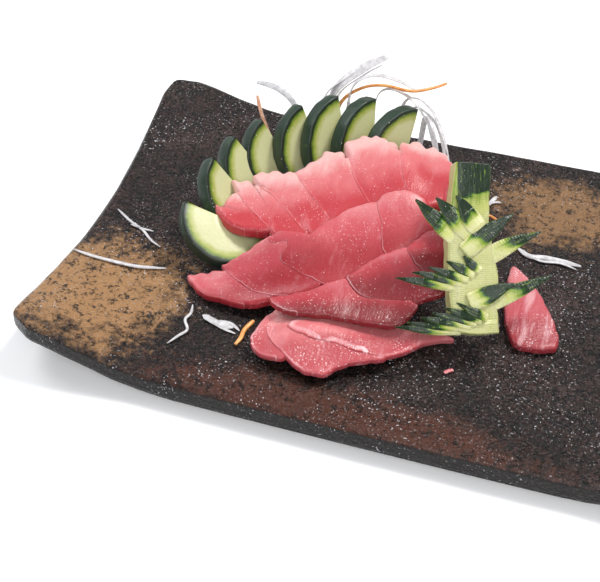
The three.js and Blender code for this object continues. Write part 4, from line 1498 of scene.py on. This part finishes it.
@dataclass
class Shreds:
    """The single shreds: those that spring from the heap, the loose ones on the plate, and the carrot."""

    support: Support
    dense: int = 28
    sprigs: tuple[Strand, ...] = (
        Strand(((-72, 60, 14), (-73, 62, 40), (-84, 70, 44), (-99, 81, 38)), 3.2, 0.7, (20, 60), 0.7),
        Strand(((-62, 70, 14), (-58, 73, 44), (-46, 81, 56), (-35, 87, 61)), 5.2, 0.6, (60, 130), 0.5),
        Strand(((-60, 71, 14), (-56, 74, 42), (-45, 80, 53), (-37, 85.5, 57)), 3.4, 0.6, (20, 70)),
        Strand(((-66, 69, 14), (-62, 72, 42), (-52, 78, 52), (-42, 85, 56)), 2.6, 0.6, (100, 40)),
        Strand(((-50, 73, 14), (-49, 73, 48), (-40, 77, 56), (-28, 78, 55), (-18, 79, 50)), 3.0, 0.7,
               (40, 100)),
        Strand(((-24, 76, 14), (-24, 77, 42), (-17, 75, 49), (-8, 68, 48), (0, 57, 42), (6, 50, 30)),
               2.8, 0.7, (80, 40)),
        Strand(((-14, 76, 14), (-12, 74, 40), (-7, 64, 40), (0, 54, 28)), 3.0, 0.6, (60, 100)),
        Strand(((-20, 76, 14), (-19, 76, 41), (-12, 71, 45), (-3, 62, 42), (4, 52, 27)), 2.0, 0.6, (40, 90)),
        Strand(((-38, 76, 14), (-37, 76, 44), (-30, 76, 51), (-18, 72, 49), (-9, 66, 41)), 1.8, 0.6,
               (70, 110)),
    )
    loose: tuple[tuple[Strand, ...], ...] = (
        (Strand(((-141, -3), (-132, -9), (-124, -13), (-118, -18), (-112, -21)), 1.3),
         Strand(((-131, -11), (-125, -12), (-119, -12)), 1.0)),
        (Strand(((-147, -37), (-136, -38), (-118, -37), (-110, -35), (-104, -33)), 1.7, tilt=(70, 110)),),
        (Strand(((-85, -50), (-84, -55), (-85, -59), (-82, -64), (-84, -68), (-87, -74)), 1.3),),
        (Strand(((-79, -54), (-70, -57), (-64, -57)), 3.0, 0.6, (85, 110), 0.2),
         Strand(((-76, -55.5), (-69, -58.5), (-62, -60)), 1.2, 0.6),
         Strand(((-72, -55.5), (-66, -55), (-61, -58)), 1.4, 0.6)),
        (Strand(((43, 27), (49, 23), (57, 24), (72, 23)), 2.4, tilt=(90, 130)),
         Strand(((46, 25), (54, 21.5), (63, 22.5), (70, 20.5)), 1.4)),
        (Strand(((25.4, 51.5), (26.6, 55), (28.4, 59.2)), 2.0, tilt=(70, 120)),
         Strand(((26.2, 53.5), (28.5, 55), (31, 55.6)), 1.3)),
    )
    carrots: tuple[Strand, ...] = (
        Strand(((-99, 80, 30), (-93, 68, 29), (-86, 60, 22), (-82, 56, 16)), 2.2, 1.4, (45, 60), 0.8),
        Strand(((-57, -51), (-59, -57), (-59, -62), (-60, -66)), 1.9, 1.3, (60, 90), 0.7),
        Strand(((-57, 72, 22), (-54, 73, 40), (-44, 74, 50), (-33, 75, 53), (-20, 74, 53), (-10, 82, 52),
                (-6, 88, 51)), 2.2, 1.4, (30, 80), 0.75),
        Strand(((26, 45.2), (28.5, 44.2), (31.2, 42.6)), 1.4, 1.1, (70, 90), 0.8),
    )
    crumb: Strand = Strand(((25.6, -55.4), (27.2, -53.8), (28.8, -52.8)), 1.7, 1.0, (80, 100), 0.8)

    def smooth(self, strand: Strand) -> Strand:
        """The strand with a dense route, laid on the support where its route is a plan.

        Args:
            strand: A strand with a few chosen points.

        Returns:
            The strand that is made.
        """
        points = spline_points(np.array(strand.route, float), self.dense, closed=False)
        if points.shape[1] == 2:
            ground = self.support.sample(self.support.heights, *(points.T * MM)) / MM
            points = np.column_stack([points, ground + 0.35 + strand.thickness / 2])
        return replace(strand, route=tuple(map(tuple, points)))

    def build(self) -> list[bpy.types.Object]:
        """Makes and dresses the shreds.

        Returns:
            The pieces.
        """
        pieces = [ribbon_piece(f"daikon_sprig_{number}", [self.smooth(sprig)], CLEAR_DAIKON)
                  for number, sprig in enumerate(self.sprigs, 1)]
        groups = [(f"daikon_loose_{i}", group, CLEAR_DAIKON) for i, group in enumerate(self.loose, 1)]
        # carrot_1 takes the darker copy, which is partly painted shade.
        groups += [(f"carrot_{i}", (strand,), SHADED_DRY_CARROT if i == 1 else CARROT)
                   for i, strand in enumerate(self.carrots, 1)]
        groups.append(("tuna_crumb", (self.crumb,), TUNA_SCRAP))
        for node, group, finish in groups:
            strands = [self.smooth(strand) for strand in group]
            pieces.append(ribbon_piece(f"{node}_shred", strands, finish, (node,)))
        return pieces


# ---------------------------------------------------------------- studio
@dataclass(frozen=True)
class Lamp:
    """A soft square light that faces the plate: its place, side in metres, power in watts and colour."""

    name: str
    at: Colour
    size: float
    power: float
    colour: Colour = WHITE

    def build(self) -> None:
        """Adds the light."""
        data = bpy.data.lights.new(self.name, "AREA")
        data.shape = "SQUARE"
        data.size = self.size
        data.energy = self.power
        data.color = self.colour
        lamp = bpy.data.objects.new(self.name, data)
        lamp.location = self.at
        lamp.rotation_euler = (-Vector(self.at)).to_track_quat("-Z", "Y").to_euler()
        bpy.context.scene.collection.objects.link(lamp)


@dataclass
class Studio:
    """Floor, lights and camera."""

    camera_at: Colour = (0.045, -0.3177, 0.3256)
    pitch: float = 44.0
    yaw: float = 17.0
    lens: float = 60.0
    sensor: float = 36.0
    floor_size: float = 4.0
    floor_drop: float = 0.0002
    floor_glow: float = 0.12
    sky: tuple = (0.95, 0.97, 1.0, 1.0)
    sky_strength: float = 0.36
    lamps: tuple[Lamp, ...] = (
        Lamp("key_light", (0.45, 0.5, 1.2), 0.3, 15.0, (1.0, 0.98, 0.95)),
        Lamp("side_light", (-0.6, 0.2, 0.7), 0.4, 3.0, (0.95, 0.97, 1.0)),
        Lamp("front_light", (0.3, -0.8, 0.8), 0.7, 6.0),
    )

    def floor(self) -> None:
        """Lays the white floor."""
        bm = bmesh.new()
        bmesh.ops.create_grid(bm, x_segments=8, y_segments=8, size=self.floor_size / 2)
        mesh = bpy.data.meshes.new("studio_floor")
        bm.to_mesh(mesh)
        bm.free()
        floor = bpy.data.objects.new("studio_floor", mesh)
        floor.location.z = -self.floor_drop
        graph = Graph("studio_floor")
        graph.set(Base_Color=srgb(246, 246, 247), Roughness=0.9, Emission_Color=(*WHITE, 1.0),
                  Emission_Strength=self.floor_glow)
        mesh.materials.append(graph.material)
        bpy.context.scene.collection.objects.link(floor)

    def world(self) -> None:
        """Fills the surroundings with an even pale light."""
        world = bpy.data.worlds.new("studio")
        world.use_nodes = True
        background = world.node_tree.nodes["Background"]
        background.inputs["Color"].default_value = self.sky
        background.inputs["Strength"].default_value = self.sky_strength
        bpy.context.scene.world = world

    def camera(self) -> None:
        """Sets up the camera."""
        data = bpy.data.cameras.new("main_view")
        data.lens = self.lens
        data.sensor_width = self.sensor
        camera = bpy.data.objects.new("main_view", data)
        camera.location = self.camera_at
        camera.rotation_euler = (math.radians(self.pitch), 0.0, math.radians(self.yaw))
        bpy.context.scene.collection.objects.link(camera)
        bpy.context.scene.camera = camera

    def build(self) -> None:
        """Makes the floor, the surroundings, the lights and the camera."""
        self.floor()
        self.world()
        for lamp in self.lamps:
            lamp.build()
        self.camera()
        bpy.context.scene.view_settings.view_transform = "Standard"


def main() -> None:
    """Builds the sashimi plate in order and reports each piece."""
    logging.basicConfig(level=logging.INFO, format="%(message)s")
    Plate().build()
    support = Support()
    support.raise_to(merged_copy("plate"))
    heap = Heap()
    core = heap.core(support)
    support.raise_to(core.copy())
    bare, cover = deepcopy(support), Support()
    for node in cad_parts:
        if node.startswith(("tuna", "cucumber_")):
            cover.raise_to(merged_copy(node))
    heap.build(core, bare, cover)
    for i in range(1, 9):
        support.raise_to(merged_copy(f"cucumber_{i}"))
    CucumberFan().build()
    Garnish().build()
    Shreds(bare).build()
    TunaSlices(support).build()
    Studio().build()


if __name__ == "__main__":
    main()
